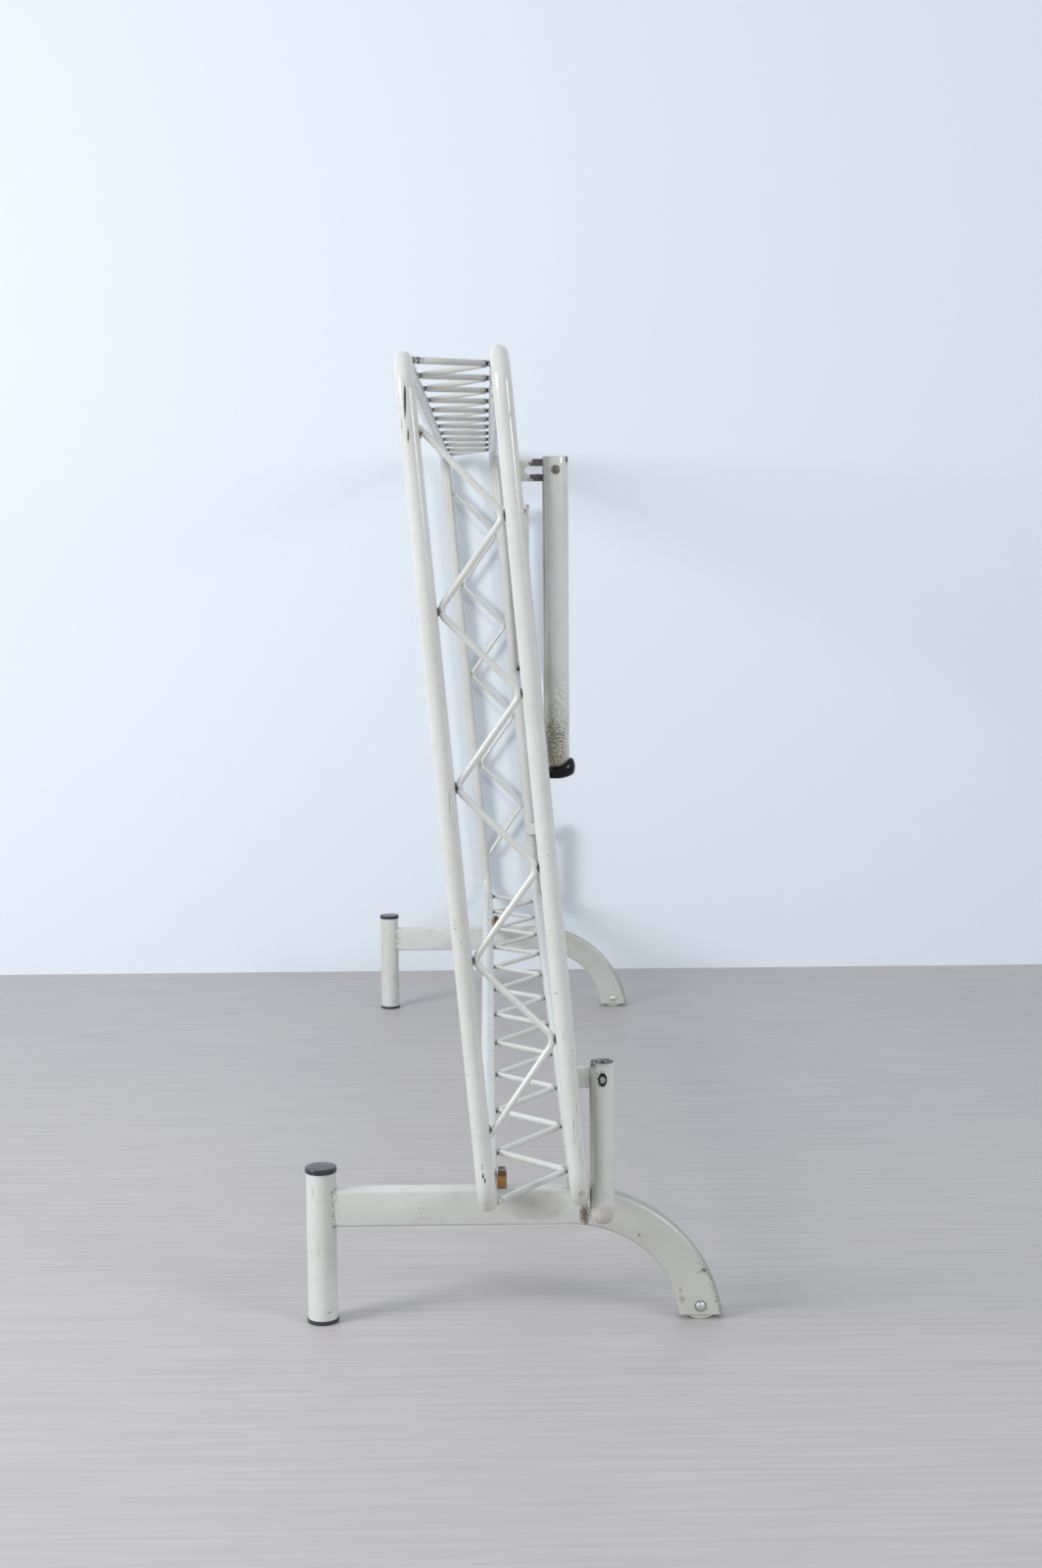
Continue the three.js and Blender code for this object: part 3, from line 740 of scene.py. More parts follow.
def amber_plastic():
    """Aged amber moulding, darker towards its top."""
    n = Nodes("amber_plastic")
    color = n.mix(n.ramp(n.noise(140, 5), 0.35, 0.7), (0.46, 0.22, 0.04), (0.28, 0.12, 0.025))
    height = n.plus(n.axis(2), n.ragged(220, 4, 0.014))
    top = n.ramp(height, (CLIP_TOP - 9) * MM, (CLIP_TOP - 5) * MM)
    color = n.cover(color, top, 0.92, (0.055, 0.026, 0.014))
    specks = n.ramp(n.noise(760, 3), 0.60, 0.68)
    color = n.cover(color, specks, 0.7, (0.60, 0.42, 0.18))
    rough = n.ramp(specks, 0.0, 1.0, 0.25, 0.6)
    n.surface(Base_Color=color, Roughness=rough, Coat_Weight=0.3, Coat_Roughness=0.12)
    n.bump(n.noise(700, 4), 0.00015, 0.5)
    return n.material


# ---- The frame ----

# Marks and painted shade near each loop's front upright: offsets are across, into the tube, and up the
# lean
LEFT_LOOP_MARKS_AND_SHADE = [
    ((-1.4, 0, 930), (2.3, 6, 30), BLACK, 0.14, 0.97),
    ((-1.6, 0, 892), (1.7, 6, 12), BLACK, 0.3, 0.9),
    ((-7.5, 6, 905), (1.2, 6, 16), GRIME_AND_SHADE, 0.6, 0.6),
    ((-1.8, 0, 46), (1.9, 6, 5), BLACK, 0.4, 0.95),
    ((-0.2, 0, 40), (1.7, 6, 5.5), BLACK, 0.4, 0.95),
    ((-1.4, 0, 57), (1.2, 6, 8), (0.25, 0.26, 0.30), 0.4, 0.8),
    # painted shade: darker olive on the underside of the bottom bend
    ((4, 3, 4), (9, 9, 7), (0.36, 0.34, 0.22), 0.5, 0.6),
    ((3, 0, 480), (0.7, 6, 20), GRIME_AND_SHADE, 0.5, 0.5),
]
RIGHT_LOOP_MARKS = [
    ((3, 2, 7), (8, 10, 10), (0.16, 0.13, 0.07), 1, 0.75),
    ((5, 2, 905), (1, 6, 6), GRIME_AND_SHADE, 0.7, 0.8),
]
RIGHT_LOOP_SCRATCHES = 11


def upright_marks(across, rows):
    face_y = -FRAME_LENGTH / 2 - LOOP_RADIUS
    marks = []
    for (aside, inward, up), *rest in rows:
        marks.append((frame_point(across + aside, face_y + inward, up), *rest))
    return marks


def scratches_on_right_loop():
    rng = random.Random(58)
    rows = []
    for _ in range(RIGHT_LOOP_SCRATCHES):
        offset = (rng.uniform(-1, 7), 1, rng.uniform(42, 120))
        radii = (rng.uniform(0.5, 0.9), 6.0, rng.uniform(7, 14))
        rows.append((offset, radii, (0.24, 0.24, 0.24), 0.5, 0.55))
    return rows


def loop(name, across, drop, mark_rows):
    half = FRAME_LENGTH / 2
    corners = [
        frame_point(across, y, up - drop)
        for y, up in ((-half, 0), (-half, FRAME_HEIGHT), (half, FRAME_HEIGHT), (half, 0))
    ]
    stations = bent_path(corners, LOOP_BEND, 14, 6.0, closed=True)
    bm = bmesh.new()
    sweep_rings(bm, stations, circle(LOOP_RADIUS, 28), LEAN_ACROSS, closed=True)
    finish = lacquer(name + "_lacquer", marks=upright_marks(across, mark_rows))
    place(paint(new_object(name, bm), finish), "frame", "lacquer", name + "_front", name + "_back")


def rod_corners(start, periods):
    """Where a zigzag rod turns, as (across, along) pairs."""
    half_turn = math.atan((LOOP_SPACING - 2 * ROD_OFFSET) / (ROD_PITCH / 2))
    rounding = ROD_BEND * (1 / math.cos(half_turn) - 1)
    low, high = ROD_OFFSET - rounding, LOOP_SPACING - ROD_OFFSET + rounding
    corners = [(high if i % 2 else low, start + i * ROD_PITCH / 2) for i in range(2 * periods + 1)]
    # both ends run straight into the left tube's wall
    sunk = LOOP_RADIUS - 1
    overrun = (ROD_OFFSET - sunk) * (ROD_PITCH / 2) / (high - ROD_OFFSET)
    corners[0] = (sunk, start - overrun)
    corners[-1] = (sunk, start + periods * ROD_PITCH + overrun)
    return corners


def zigzag(name, start, periods, point_at, normal, bead_faces, seed, dirt_reach):
    """A bent rod, and its fillet welds at every bend that touches a tube.

    dirt_reach is how far dirt spreads from the welds on the left tube and on the right tube.
    """
    corners = [point_at(across, along) for across, along in rod_corners(start, periods)]
    bm = bmesh.new()
    rings = sweep_rings(bm, bent_path(corners, ROD_BEND, 8, 7.0), circle(ROD_RADIUS, 16), normal)
    bm.faces.new(rings[0])
    bm.faces.new(rings[-1])
    place(paint(new_object(name, bm), rod_finish), "frame", "lacquer", name)

    beads = bmesh.new()
    for i in range(2 * periods + 1):
        on_right = i % 2
        side = -1 if on_right else 1
        touch = LOOP_SPACING - LOOP_RADIUS if on_right else LOOP_RADIUS
        along = start + i * ROD_PITCH / 2
        centre = point_at(touch + side * 0.6, along)
        direction = (point_at(touch, along + 1) - point_at(touch, along)).normalized()
        for face in bead_faces:
            length = ROD_BEAD_LENGTH + 2 * math.sin(i * 1.7 + face)
            spot = centre + normal * face * 2.2
            bead_seed = seed + 7 * i + face
            add_bead(beads, spot, direction, normal * face, length, ROD_BEAD_WIDTH, bead_seed)
        welds.append((point_at(touch + side * 1.5, along), dirt_reach[on_right]))
    place(paint(new_object(name + "_welds", beads), weld_finish), "frame", "lacquer")


def build_frame():
    loop("left_loop", 0.0, 0.0, LEFT_LOOP_MARKS_AND_SHADE)
    loop("right_loop", LOOP_SPACING, RIGHT_LOOP_DROP, RIGHT_LOOP_MARKS + scratches_on_right_loop())
    drop = RIGHT_LOOP_DROP / LOOP_SPACING
    rail_start = -RAIL_PERIODS * ROD_PITCH / 2
    rail_normal = (LEAN_UP + LEAN_ACROSS * drop).normalized()
    for name, up, seed, dirt_reach in (
        ("bottom_rod", 0.0, 100, (11.0, 11.0)),
        ("top_rod", FRAME_HEIGHT, 400, (16.0, 23.0)),
    ):
        def rail_point(across, along, up=up):
            return frame_point(across, along, up - drop * across)
        zigzag(name, rail_start, RAIL_PERIODS, rail_point, rail_normal, (-1, 1), seed, dirt_reach)
    for where, end in ENDS.items():
        def end_point(across, along, end=end):
            return frame_point(across, end * FRAME_LENGTH / 2, along)
        name = "end_rod_" + where
        zigzag(name, END_ROD_START, END_PERIODS, end_point, Y, (-end,), 700 + end, (8.0, 7.0))


# ---- The feet ----

# Marks and painted shadow on the near foot: offsets are X and Z, and how far into the bar or post
BAR_MARKS_AND_SHADOW = [
    # painted shadow that the loops cast across the bar's front face between the rails
    ((26, 0, 148), (62, 9, 34), (0.37, 0.345, 0.29), 0.12, 0.38, 60),
    ((85, 0, 136), (7, 9, 16), TAN, 0.9, 0.75, 480),
    ((87, 0, 128), (5, 9, 9), (0.17, 0.11, 0.05), 1, 0.6),
    ((86, 0, 136), (7, 9, 16), GRIME_AND_SHADE, 1.3, 0.85, 900),
    ((231, 0, 62.5), (3.2, 6, 3.2), BLACK, 1.1, 0.85, 900),
    ((226, 0, 60), (3.4, 6, 2), BLACK, 1.6, 0.45, 1300),
    ((203, 0, 37), (2.2, 8, 4), GRIME_AND_SHADE, 2.2, 0.5, 1300),
    ((205, 0, 26), (4.4, 8, 4.6), GRIME_AND_SHADE, 2.4, 0.5, 1300),
    ((152, 0, 108), (3, 8, 3), GRIME_AND_SHADE, 0.9, 0.6),
    # painted contact shadow: a dark halo round the rivet head
    ((GLIDE_X, 0, RIVET_Z), (11, 5, 11), GRIME_AND_SHADE, 0.15, 0.85),
]
POST_MARKS = [
    ((9, 2, 16), (6, 6, 2), STEEL, 0.9, 0.5),
    ((-9, 2, 168), (1, 6, 9), STEEL, 0.7, 0.5),
    ((-3, 0, 96), (0.8, 6, 14), STEEL, 0.7, 0.4),
]


def foot_bar(name, y, marks):
    """Rectangular tube, saddle-cut at the post, bent down and sawn level above the floor."""
    outer = rounded_rectangle(BAR_HEIGHT, BAR_THICKNESS, BAR_CORNER, 4)
    bore_height, bore_width = BAR_HEIGHT - 2 * BAR_WALL, BAR_THICKNESS - 2 * BAR_WALL
    inner = rounded_rectangle(bore_height, bore_width, BAR_CORNER - BAR_WALL, 4)
    corners = [
        Vector((POST_X + POST_RADIUS, y, BAR_CENTRE_Z)),
        Vector((BAR_SWEEP_X + BAR_SWEEP, y, BAR_CENTRE_Z)),
        Vector((BAR_SWEEP_X + BAR_SWEEP, y, SWEEP_CENTRE_Z - 30)),
    ]
    stations = bent_path(corners, BAR_SWEEP, 40, 7.0)
    bm = bmesh.new()
    skins = [sweep_rings(bm, stations, section, -Y) for section in (outer, inner)]
    flare_bend(bm.verts)
    for skin in skins:
        for vertex in skin[0]:
            reach = math.sqrt(POST_RADIUS**2 - (vertex.co.y - y) ** 2)
            vertex.co.x = POST_X + reach - 0.2
    skin_between(bm, skins[0][0], skins[1][0])
    saw_level(bm, BAR_CUT_Z)
    finish = lacquer(name + "_lacquer", along=0, marks=marks, chip_level=0.665, shaded_and_worn_bend=True)
    place(paint(new_object(name, bm), finish), "frame", "lacquer", name)


def saw_level(bm, z):
    """Saws a tube off at a height, closes the wall and takes the edge off the cut."""
    geometry = bm.verts[:] + bm.edges[:] + bm.faces[:]
    sawn = bmesh.ops.bisect_plane(bm, geom=geometry, plane_co=Z * z, plane_no=-Z, clear_outer=True)
    rim = [e for e in sawn["geom_cut"] if isinstance(e, bmesh.types.BMEdge)]
    bridged = bmesh.ops.bridge_loops(bm, edges=rim)
    rim_edges = {e for f in bridged["faces"] for e in f.edges}
    sharp = [e for e in rim_edges if len(e.link_faces) == 2 and e.calc_face_angle(0) > 0.6]
    bmesh.ops.bevel(bm, geom=sharp, offset=0.45, segments=2, affect="EDGES")


def flare_bend(verts):
    """Spreads the inner half of the bar's bend, more and more towards its sawn end."""
    for vertex in verts:
        x, z = vertex.co.x - BAR_SWEEP_X, vertex.co.z - SWEEP_CENTRE_Z
        radius = math.hypot(x, z)
        inward = BAR_SWEEP - radius
        spread = FLARE * (math.atan2(x, z) - FLARE_START) / FLARE_LENGTH
        if x > 0 and inward > 0 and spread > 0:
            grown = (BAR_SWEEP - inward * (1 + spread)) / radius
            vertex.co.x = BAR_SWEEP_X + x * grown
            vertex.co.z = SWEEP_CENTRE_Z + z * grown


def post(name, y):
    low, high = FOOT_CAP_RIM, POST_HEIGHT - TOP_CAP_RIM
    bore = POST_RADIUS - POST_WALL
    chamfer = 0.4
    profile = [(bore, low), (POST_RADIUS - chamfer, low)]
    profile += [(POST_RADIUS, low + 0.3 + (high - low - 0.6) * k / 30) for k in range(31)]
    profile += [(POST_RADIUS - chamfer, high), (bore, high)]
    tube = lathe(name, profile, 56, Matrix.Translation((POST_X, y, 0)), closed=True)
    marks = marks_from(Vector((POST_X, y - POST_RADIUS, 0)), POST_MARKS)
    return paint(tube, lacquer(name + "_lacquer", marks=marks))


def post_cap(name, rim, place_matrix, crown):
    """A moulded cap, from its face to its plug. Crown is how far the face's middle stands out."""
    plug = POST_RADIUS - POST_WALL - 0.2
    edge = 1.6
    profile = [(0, 0.0), (CAP_RADIUS * 0.45, crown * 0.2), (CAP_RADIUS * 0.8, crown * 0.75)]
    profile.append((CAP_RADIUS - 2.2, crown))
    for angle in (0.3, 0.6, 0.9, 1.2, math.pi / 2):
        radius = CAP_RADIUS - edge + edge * math.sin(angle)
        profile.append((radius, crown + edge - edge * math.cos(angle)))
    profile += [(CAP_RADIUS, crown + rim - 0.5), (CAP_RADIUS - 0.15, crown + rim - 0.15)]
    profile += [(CAP_RADIUS - 0.5, crown + rim), (plug, crown + rim), (plug, crown + rim + 14)]
    profile += [(plug - 1.5, crown + rim + 16), (0, crown + rim + 16)]
    return lathe(name, profile, 64, place_matrix)


def foot_glide(name, y):
    """A moulded plug in the bar's sawn end, with a rounded underside."""
    reach = math.degrees(math.asin(GLIDE_HALF_WIDTH / GLIDE_CURVE))
    outline = arc_points(0, GLIDE_CURVE, GLIDE_CURVE, -90 - reach, -90 + reach, 28)
    outline += [(GLIDE_HALF_WIDTH, GLIDE_TOP), (-GLIDE_HALF_WIDTH, GLIDE_TOP)]
    hole = [(u, RIVET_Z + v) for u, v in circle(RIVET_RADIUS + 0.2, 24)]
    matrix = Matrix.Translation((GLIDE_X, y, 0)) @ FACE_FRONT
    return solid_outline(name, [outline, hole], BAR_THICKNESS - 2 * BAR_WALL - 0.4, 1.0, matrix)


def foot_rivet(name, y):
    face = BAR_THICKNESS / 2 + 0.1
    edge = 0.5
    head = [(RIVET_RADIUS, face), (RIVET_HEAD_RADIUS, face)]
    for angle in (0.0, 0.25, 0.5, 0.75, 1.0, 1.25):
        height = face + edge + (RIVET_HEAD_HEIGHT - edge) * math.sin(angle)
        head.append((RIVET_HEAD_RADIUS * math.cos(angle), height))
    head.append((0, face + RIVET_HEAD_HEIGHT))
    profile = [(radius, -height) for radius, height in reversed(head)] + head
    return lathe(name, profile, 40, Matrix.Translation((GLIDE_X, y, RIVET_Z)) @ FACE_FRONT)


def rail_clip(name, y):
    """A moulded block beside the rail, with a sunk hole for its screw."""
    bottom, half, corner = BAR_TOP + 0.1, CLIP_WIDTH / 2, 4.0
    outline = [(-half, bottom), (half, bottom)]
    outline += arc_points(half - corner, CLIP_TOP - corner, corner, 0, 90, 8) + [(-half, CLIP_TOP)]
    matrix = Matrix.Translation((CLIP_X, y, 0)) @ FACE_FRONT
    block = solid_outline(name, [outline], CLIP_DEPTH, 0.7, matrix)
    sink = Vector((CLIP_X, y, CLIP_TOP - SCREW_SINK))
    head = rod_tool(SCREW_HEAD_RADIUS + 0.2, sink, Vector((CLIP_X, y, CLIP_TOP + 5)))
    shank = rod_tool(SCREW_RADIUS + 0.2, Vector((CLIP_X, y, BAR_TOP - 5)), sink + Z)
    return cut(block, head, shank)


def clip_screw(name, y):
    seat = CLIP_TOP - SCREW_SINK + 0.1
    wide, slim = SCREW_HEAD_RADIUS, SCREW_RADIUS
    profile = [(0, BAR_TOP - 6), (slim, BAR_TOP - 6), (slim, seat), (wide - 0.2, seat)]
    profile += [(wide, seat + 0.4), (wide - 0.1, seat + 1.4), (wide - 0.7, seat + 2.2)]
    profile += [(1.6, seat + 2.4), (1.5, seat + 1.2), (0, seat + 1.2)]
    return lathe(name, profile, 24, Matrix.Translation((CLIP_X, y, 0)))


def rail_seat(name, y):
    outline = rounded_rectangle(SEAT_SIZE, SEAT_SIZE, 2.5, 4)
    matrix = Matrix.Translation((SEAT_X, y, (BAR_TOP + SEAT_TOP) / 2))
    return solid_outline(name, [outline], SEAT_TOP - BAR_TOP, 0.6, matrix)


def foot_welds(name, y):
    """Beads at the rails, the seat and the post, and the dirt round them."""
    post_side = Vector((POST_X + POST_RADIUS, y, BAR_CENTRE_Z))
    bar_half = BAR_THICKNESS / 2
    rim = Vector((POST_X + math.sqrt(POST_RADIUS**2 - bar_half**2) + 0.6, y, BAR_CENTRE_Z))
    left_rail = Vector((LEFT_RAIL_X, y, BAR_TOP + 1.0))
    right_rail = Vector((RIGHT_RAIL.x, y, SEAT_TOP - 0.6))
    seat = Vector((SEAT_X, y, BAR_TOP + 0.3))
    beads = bmesh.new()
    for side in (-1, 1):
        add_bead(beads, left_rail + X * side * 4.2, Y, Z, 22.0, 3.2, 31 + side)
        add_bead(beads, right_rail + X * side * 4.0, Y, Z, 15.0, 3.4, 41 + side)
        add_bead(beads, seat + X * side * SEAT_SIZE / 2, Y, Z, 15.0, 3.0, 51 + side)
        add_bead(beads, rim + Y * side * 12.4, Z, X, BAR_HEIGHT - 3, 3.0, 61 + side)
        add_bead(beads, post_side + Z * side * 22.9, Y, X, 21.0, 3.0, 71 + side)
    welds.append((Vector((LEFT_RAIL_X, y, BAR_TOP)), 16.0))
    welds.append((Vector((RIGHT_RAIL.x, y, BAR_TOP + 4)), 17.0))
    for up in (-20, -7, 7, 20):
        for side in (-12, 12):
            welds.append((post_side + Y * side + Z * up, 9.0))
    return new_object(name, beads)


def build_foot(where):
    y = FOOT_Y[where]
    near_face = Vector((0, y - BAR_THICKNESS / 2, 0))
    foot_bar("foot_bar_" + where, y, marks_from(near_face, BAR_MARKS_AND_SHADOW) if where == FRONT else [])
    place(post("post_" + where, y), "frame", "lacquer", "post_" + where)
    upright = Matrix.Translation((POST_X, y, 0))
    upside_down = Matrix.Translation((POST_X, y, POST_HEIGHT)) @ Matrix.Rotation(math.pi, 4, "X")
    for name, rim, matrix, crown in (
        ("foot_cap_" + where, FOOT_CAP_RIM, upright, 0.0),
        ("top_cap_" + where, TOP_CAP_RIM, upside_down, TOP_CAP_CROWN),
    ):
        place(paint(post_cap(name, rim, matrix, crown), cap_finish), "frame", "black_plastic", name)
    for stem, build, slot, finish in (
        ("glide_", foot_glide, "pale_plastic", glide_finish),
        ("foot_rivet_", foot_rivet, "zinc_steel", zinc_finish),
        ("rail_clip_", rail_clip, "amber_plastic", amber_finish),
        ("clip_screw_", clip_screw, "bare_steel", rusty_finish),
        ("rail_seat_", rail_seat, "lacquer", weld_finish),
    ):
        place(paint(build(stem + where, y), finish), "frame", slot, stem + where)
    place(paint(foot_welds("foot_welds_" + where, y), foot_weld_finish), "frame", "lacquer")


# ---- The arms ----

# Marks and painted shade on each arm: offsets are from the middle of its near side, level with its low
# end
ARM_MARKS_AND_SHADE = {
    "upper": [
        # painted shade: a dark band down the left edge and a darker left third, where the loop's tube
        # shades the arm
        ((-14.5, 9, 180), (4.2, 15, 300), (0.14, 0.13, 0.11), 0.10, 0.66),
        ((-12, 3, 40), (16, 14, 170), (0.36, 0.36, 0.28), 0.25, 0.4),
        ((1, 3, 10), (19, 12, 17), (0.36, 0.27, 0.21), 0.4, 0.5),
        ((-4, 0, 38), (18, 12, 38), OLIVE, 1.5, 0.42, 560),
        ((-4, 0, 32), (15, 12, 25), (0.11, 0.085, 0.04), 2.4, 0.62, 560),
        ((12.8, 7, 350.5), (2.8, 8, 7.5), (0.04, 0.035, 0.03), 0.5, 0.95),
    ],
    "lower": [
        # painted shade: a dark band down the left edge and a darker left third, where the loop's tube
        # shades the arm
        ((-14.5, 9, 95), (4.2, 15, 170), (0.17, 0.13, 0.11), 0.10, 0.7),
        ((-12, 3, 90), (9, 14, 150), (0.36, 0.34, 0.27), 0.3, 0.35),
        ((-12, 3, 80), (17, 14, 150), (0.38, 0.36, 0.29), 0.3, 0.35),
        ((2, 3, 10), (20, 14, 24), (0.42, 0.34, 0.30), 0.3, 0.5),
        ((-1, 0, 176.5), (8, 7, 12), GRIME_AND_SHADE, 0.9, 0.75),
        ((-11, 6, 193), (6, 9, 4), GRIME_AND_SHADE, 0.9, 0.85),
        ((3, 1, 194), (14, 9, 3.2), (0.42, 0.47, 0.47), 0.9, 0.85),
    ],
}


def dome(radius, bottom, steps):
    """Profile of a half-round end from its lowest point up to full radius."""
    centre = bottom + radius
    profile = []
    for k in range(steps + 1):
        angle = math.pi / 2 * k / steps
        profile.append((radius * math.sin(angle), centre - radius * math.cos(angle)))
    return profile


def arm_tube(name, level, y, inward):
    """A tube with a domed low end, and a saw cut across its open top end for the plate."""
    arm = ARMS[level]
    x, z = arm["x"], arm["z"]
    bottom, top = z - arm["below"], z + arm["above"]
    bore = ARM_RADIUS - ARM_WALL
    outer = dome(ARM_RADIUS, bottom, 14)
    shoulder = outer[-1][1]
    outer += [(ARM_RADIUS, shoulder + (top - 0.5 - shoulder) * k / 40) for k in range(1, 41)]
    outer += [(ARM_RADIUS - 0.15, top - 0.12), (ARM_RADIUS - 0.5, top)]
    inner = [(bore, top)] + list(reversed(dome(bore, bottom + ARM_WALL, 8)))
    tube = lathe(name, outer + inner, 64, Matrix.Translation((x, y, 0)))

    saw = PLATE_THICKNESS / 2 + 0.6
    low_corner = (x - CUT_REACH, y - saw, z - SAW_DEPTH)
    cuts = [box_tool(low_corner, (x + CUT_REACH, y + saw, top + CUT_REACH))]
    centre = Vector((x, y, z))
    reach = Y * inward * CUT_REACH
    outer_hole, stretch = (5.1, 1.62) if level == "lower" else (PIN_RADIUS + PIN_PLAY, 1.0)
    cuts.append(rod_tool(outer_hole, centre - reach, centre, stretch))
    cuts.append(rod_tool(PIN_RADIUS + PIN_PLAY, centre, centre + reach))
    cut(tube, *cuts)
    round_edges(tube, 0.25, 50)

    marks = marks_from(Vector((x, y - ARM_RADIUS, bottom)), ARM_MARKS_AND_SHADE[level])
    stained, stain_height = (1.0, 150) if level == "upper" else (0.35, 95)
    outside_finish = lacquer(name + "_lacquer", 2, marks, stained, (bottom, bottom + stain_height))
    paint(tube, outside_finish, inside_finish)
    # every face that isn't on the outer skin is bare metal
    dome_centre = Vector((x, y, bottom + ARM_RADIUS))
    for polygon in tube.data.polygons:
        out = polygon.center / MM - dome_centre
        if out.z >= 0:
            out.z = 0
        if out.length < ARM_RADIUS - 0.35:
            polygon.material_index = 1
    return tube


def bracket(name, level, y, inward):
    """A plate with a round end and a hole or slot, on a spacer that is welded to the end tube."""
    arm = ARMS[level]
    x, z = arm["x"], arm["z"]
    upright = upright_x(z) - x
    half = PLATE_HEIGHT / 2
    outline = [(upright - 7, -half), *arc_points(0, 0, half, -90, 90, 20), (upright - 7, half)]
    hole = circle(SLOT_RADIUS, 28)
    if arm["travel"]:
        hole = arc_points(0, 0, SLOT_RADIUS, -90, 90, 14)
        hole += arc_points(-arm["travel"], 0, SLOT_RADIUS, 90, 270, 14)
    matrix = Matrix.Translation((x, y, z)) @ FACE_FRONT
    plate = solid_outline(name + "_plate", [outline, hole], PLATE_THICKNESS, 0.5, matrix)
    tube_y = y - inward * ARM_INSET
    plate_y = y - inward * 1.5
    outline = rounded_rectangle(SPACER_WIDTH, abs(plate_y - tube_y), 1.0, 3)
    matrix = Matrix.Translation((x + upright - 1.5, (plate_y + tube_y) / 2, z))
    spacer = solid_outline(name + "_spacer", [outline], PLATE_HEIGHT, 0.5, matrix)
    piece = joined(name, [plate, spacer])
    if level == "upper":
        paint(piece, bare_steel(name + "_steel", painted_below_x=x + upright + 23))
    else:
        paint(piece, lacquer(name + "_lacquer", 0))
    beads = bmesh.new()
    for side in (-1, 1):
        spot = Vector((x + upright + side * 6.6, tube_y + inward * 8.6, z))
        add_bead(beads, spot, LEAN_UP, X * side, PLATE_HEIGHT - 3, 2.8, 90 + side)
    for up in (-9, 0, 9):
        welds.append((Vector((x + upright, tube_y + inward * 9, z + up)), 9.0))
    return piece, paint(new_object(name + "_welds", beads), weld_finish)


def at_pivot(level, y, inward):
    """A matrix that sets a turned piece on an arm's pivot, with its head end on the outer side."""
    arm = ARMS[level]
    return Matrix.Translation((arm["x"], y, arm["z"])) @ Matrix.Rotation(inward * math.pi / 2, 4, "X")


def pivot_pin(name, level, y, inward):
    """A headed pin. Its shank ends in a few turns of thread beyond the nut."""
    seat = ARM_RADIUS - ARM_WALL - 2.2 if level == "lower" else ARM_RADIUS + 0.1
    tail = -ARM_RADIUS - PIN_TAIL
    profile = [(0, tail), (PIN_RADIUS - 0.8, tail), (PIN_RADIUS - 0.3, tail + 0.5)]
    height = tail + 0.9
    while height < -ARM_RADIUS - 0.5:
        profile += [(PIN_RADIUS - 0.05, height), (PIN_RADIUS - 0.5, height + 0.6)]
        height += 1.2
    profile += [(PIN_RADIUS, -ARM_RADIUS), (PIN_RADIUS, seat), (4.8, seat), (5.0, seat + 0.3)]
    profile += [(4.9, seat + 0.9), (4.2, seat + 1.6), (3.0, seat + 2.0), (1.4, seat + 2.18)]
    profile.append((0, seat + 2.2))
    return lathe(name, profile, 40, at_pivot(level, y, inward))


def pivot_nut(name, level, y, inward):
    outline = circle(NUT_RADIUS, 6)
    hole = circle(PIN_RADIUS + 0.15, 28)
    middle = Matrix.Translation((0, 0, -ARM_RADIUS - 0.3 - NUT_HEIGHT / 2))
    return solid_outline(name, [outline, hole], NUT_HEIGHT, 0.55, at_pivot(level, y, inward) @ middle)


# The tip's skin from its sole up: radius towards -X and towards +X, height of its low side and heel
TIP_RINGS = [
    (0.0, 0.0, 0.0, 0.0),
    (12.2, 8.0, 0.0, 0.0),
    (14.6, 12.0, 0.5, 0.9),
    (15.5, 16.5, 1.6, 2.6),
    (15.9, 19.9, 3.2, 5.0),
    (15.95, 20.9, 4.4, 9.0),
    (15.9, 21.3, 5.6, 13.5),
    (15.8, 20.6, 6.2, 17.6),
    (15.5, 19.2, 6.8, 21.0),
    (15.0, 17.6, 7.2, 22.9),
    (14.6, 15.6, 7.2, 22.9),
    (14.2, 14.6, 6.8, 20.6),
]
TIP_SIDES = 64


def arm_tip(name, level, y):
    """A moulded boot round the arm's end, with a heel that stands up on the outer side."""
    arm = ARMS[level]
    bottom = arm["z"] - arm["below"] - TIP_DEPTH
    middle = Vector((arm["x"], y, 0))
    around = circle(1.0, TIP_SIDES)
    bm = bmesh.new()
    rings = []
    for left, right, low, high in TIP_RINGS:
        ring = []
        for c, s in around:
            radius = left + (right - left) * max(0.0, c) ** 1.3
            height = low + (high - low) * (0.5 + 0.5 * c) ** 2.2
            ring.append(bm.verts.new(middle + Vector((radius * c, radius * s, bottom + height))))
        rings.append(ring)
    # the cup's inside follows the arm's dome
    cup_radius = ARM_RADIUS + 0.15
    cup_centre = bottom + TIP_DEPTH + ARM_RADIUS
    rim = rings[-1]
    for share in (1.0, 0.7, 0.35):
        ring = []
        for vertex, (c, _) in zip(rim, around):
            flat = (vertex.co - middle) * share * (0.62 + 0.18 * max(0.0, c))
            flat.z = 0
            height = cup_centre - math.sqrt(cup_radius**2 - flat.length_squared)
            ring.append(bm.verts.new(middle + flat + Z * height))
        rings.append(ring)
    for a, b in zip(rings, rings[1:]):
        skin_between(bm, a, b)
    bm.faces.new(rings[-1])
    return new_object(name, bm, 50)


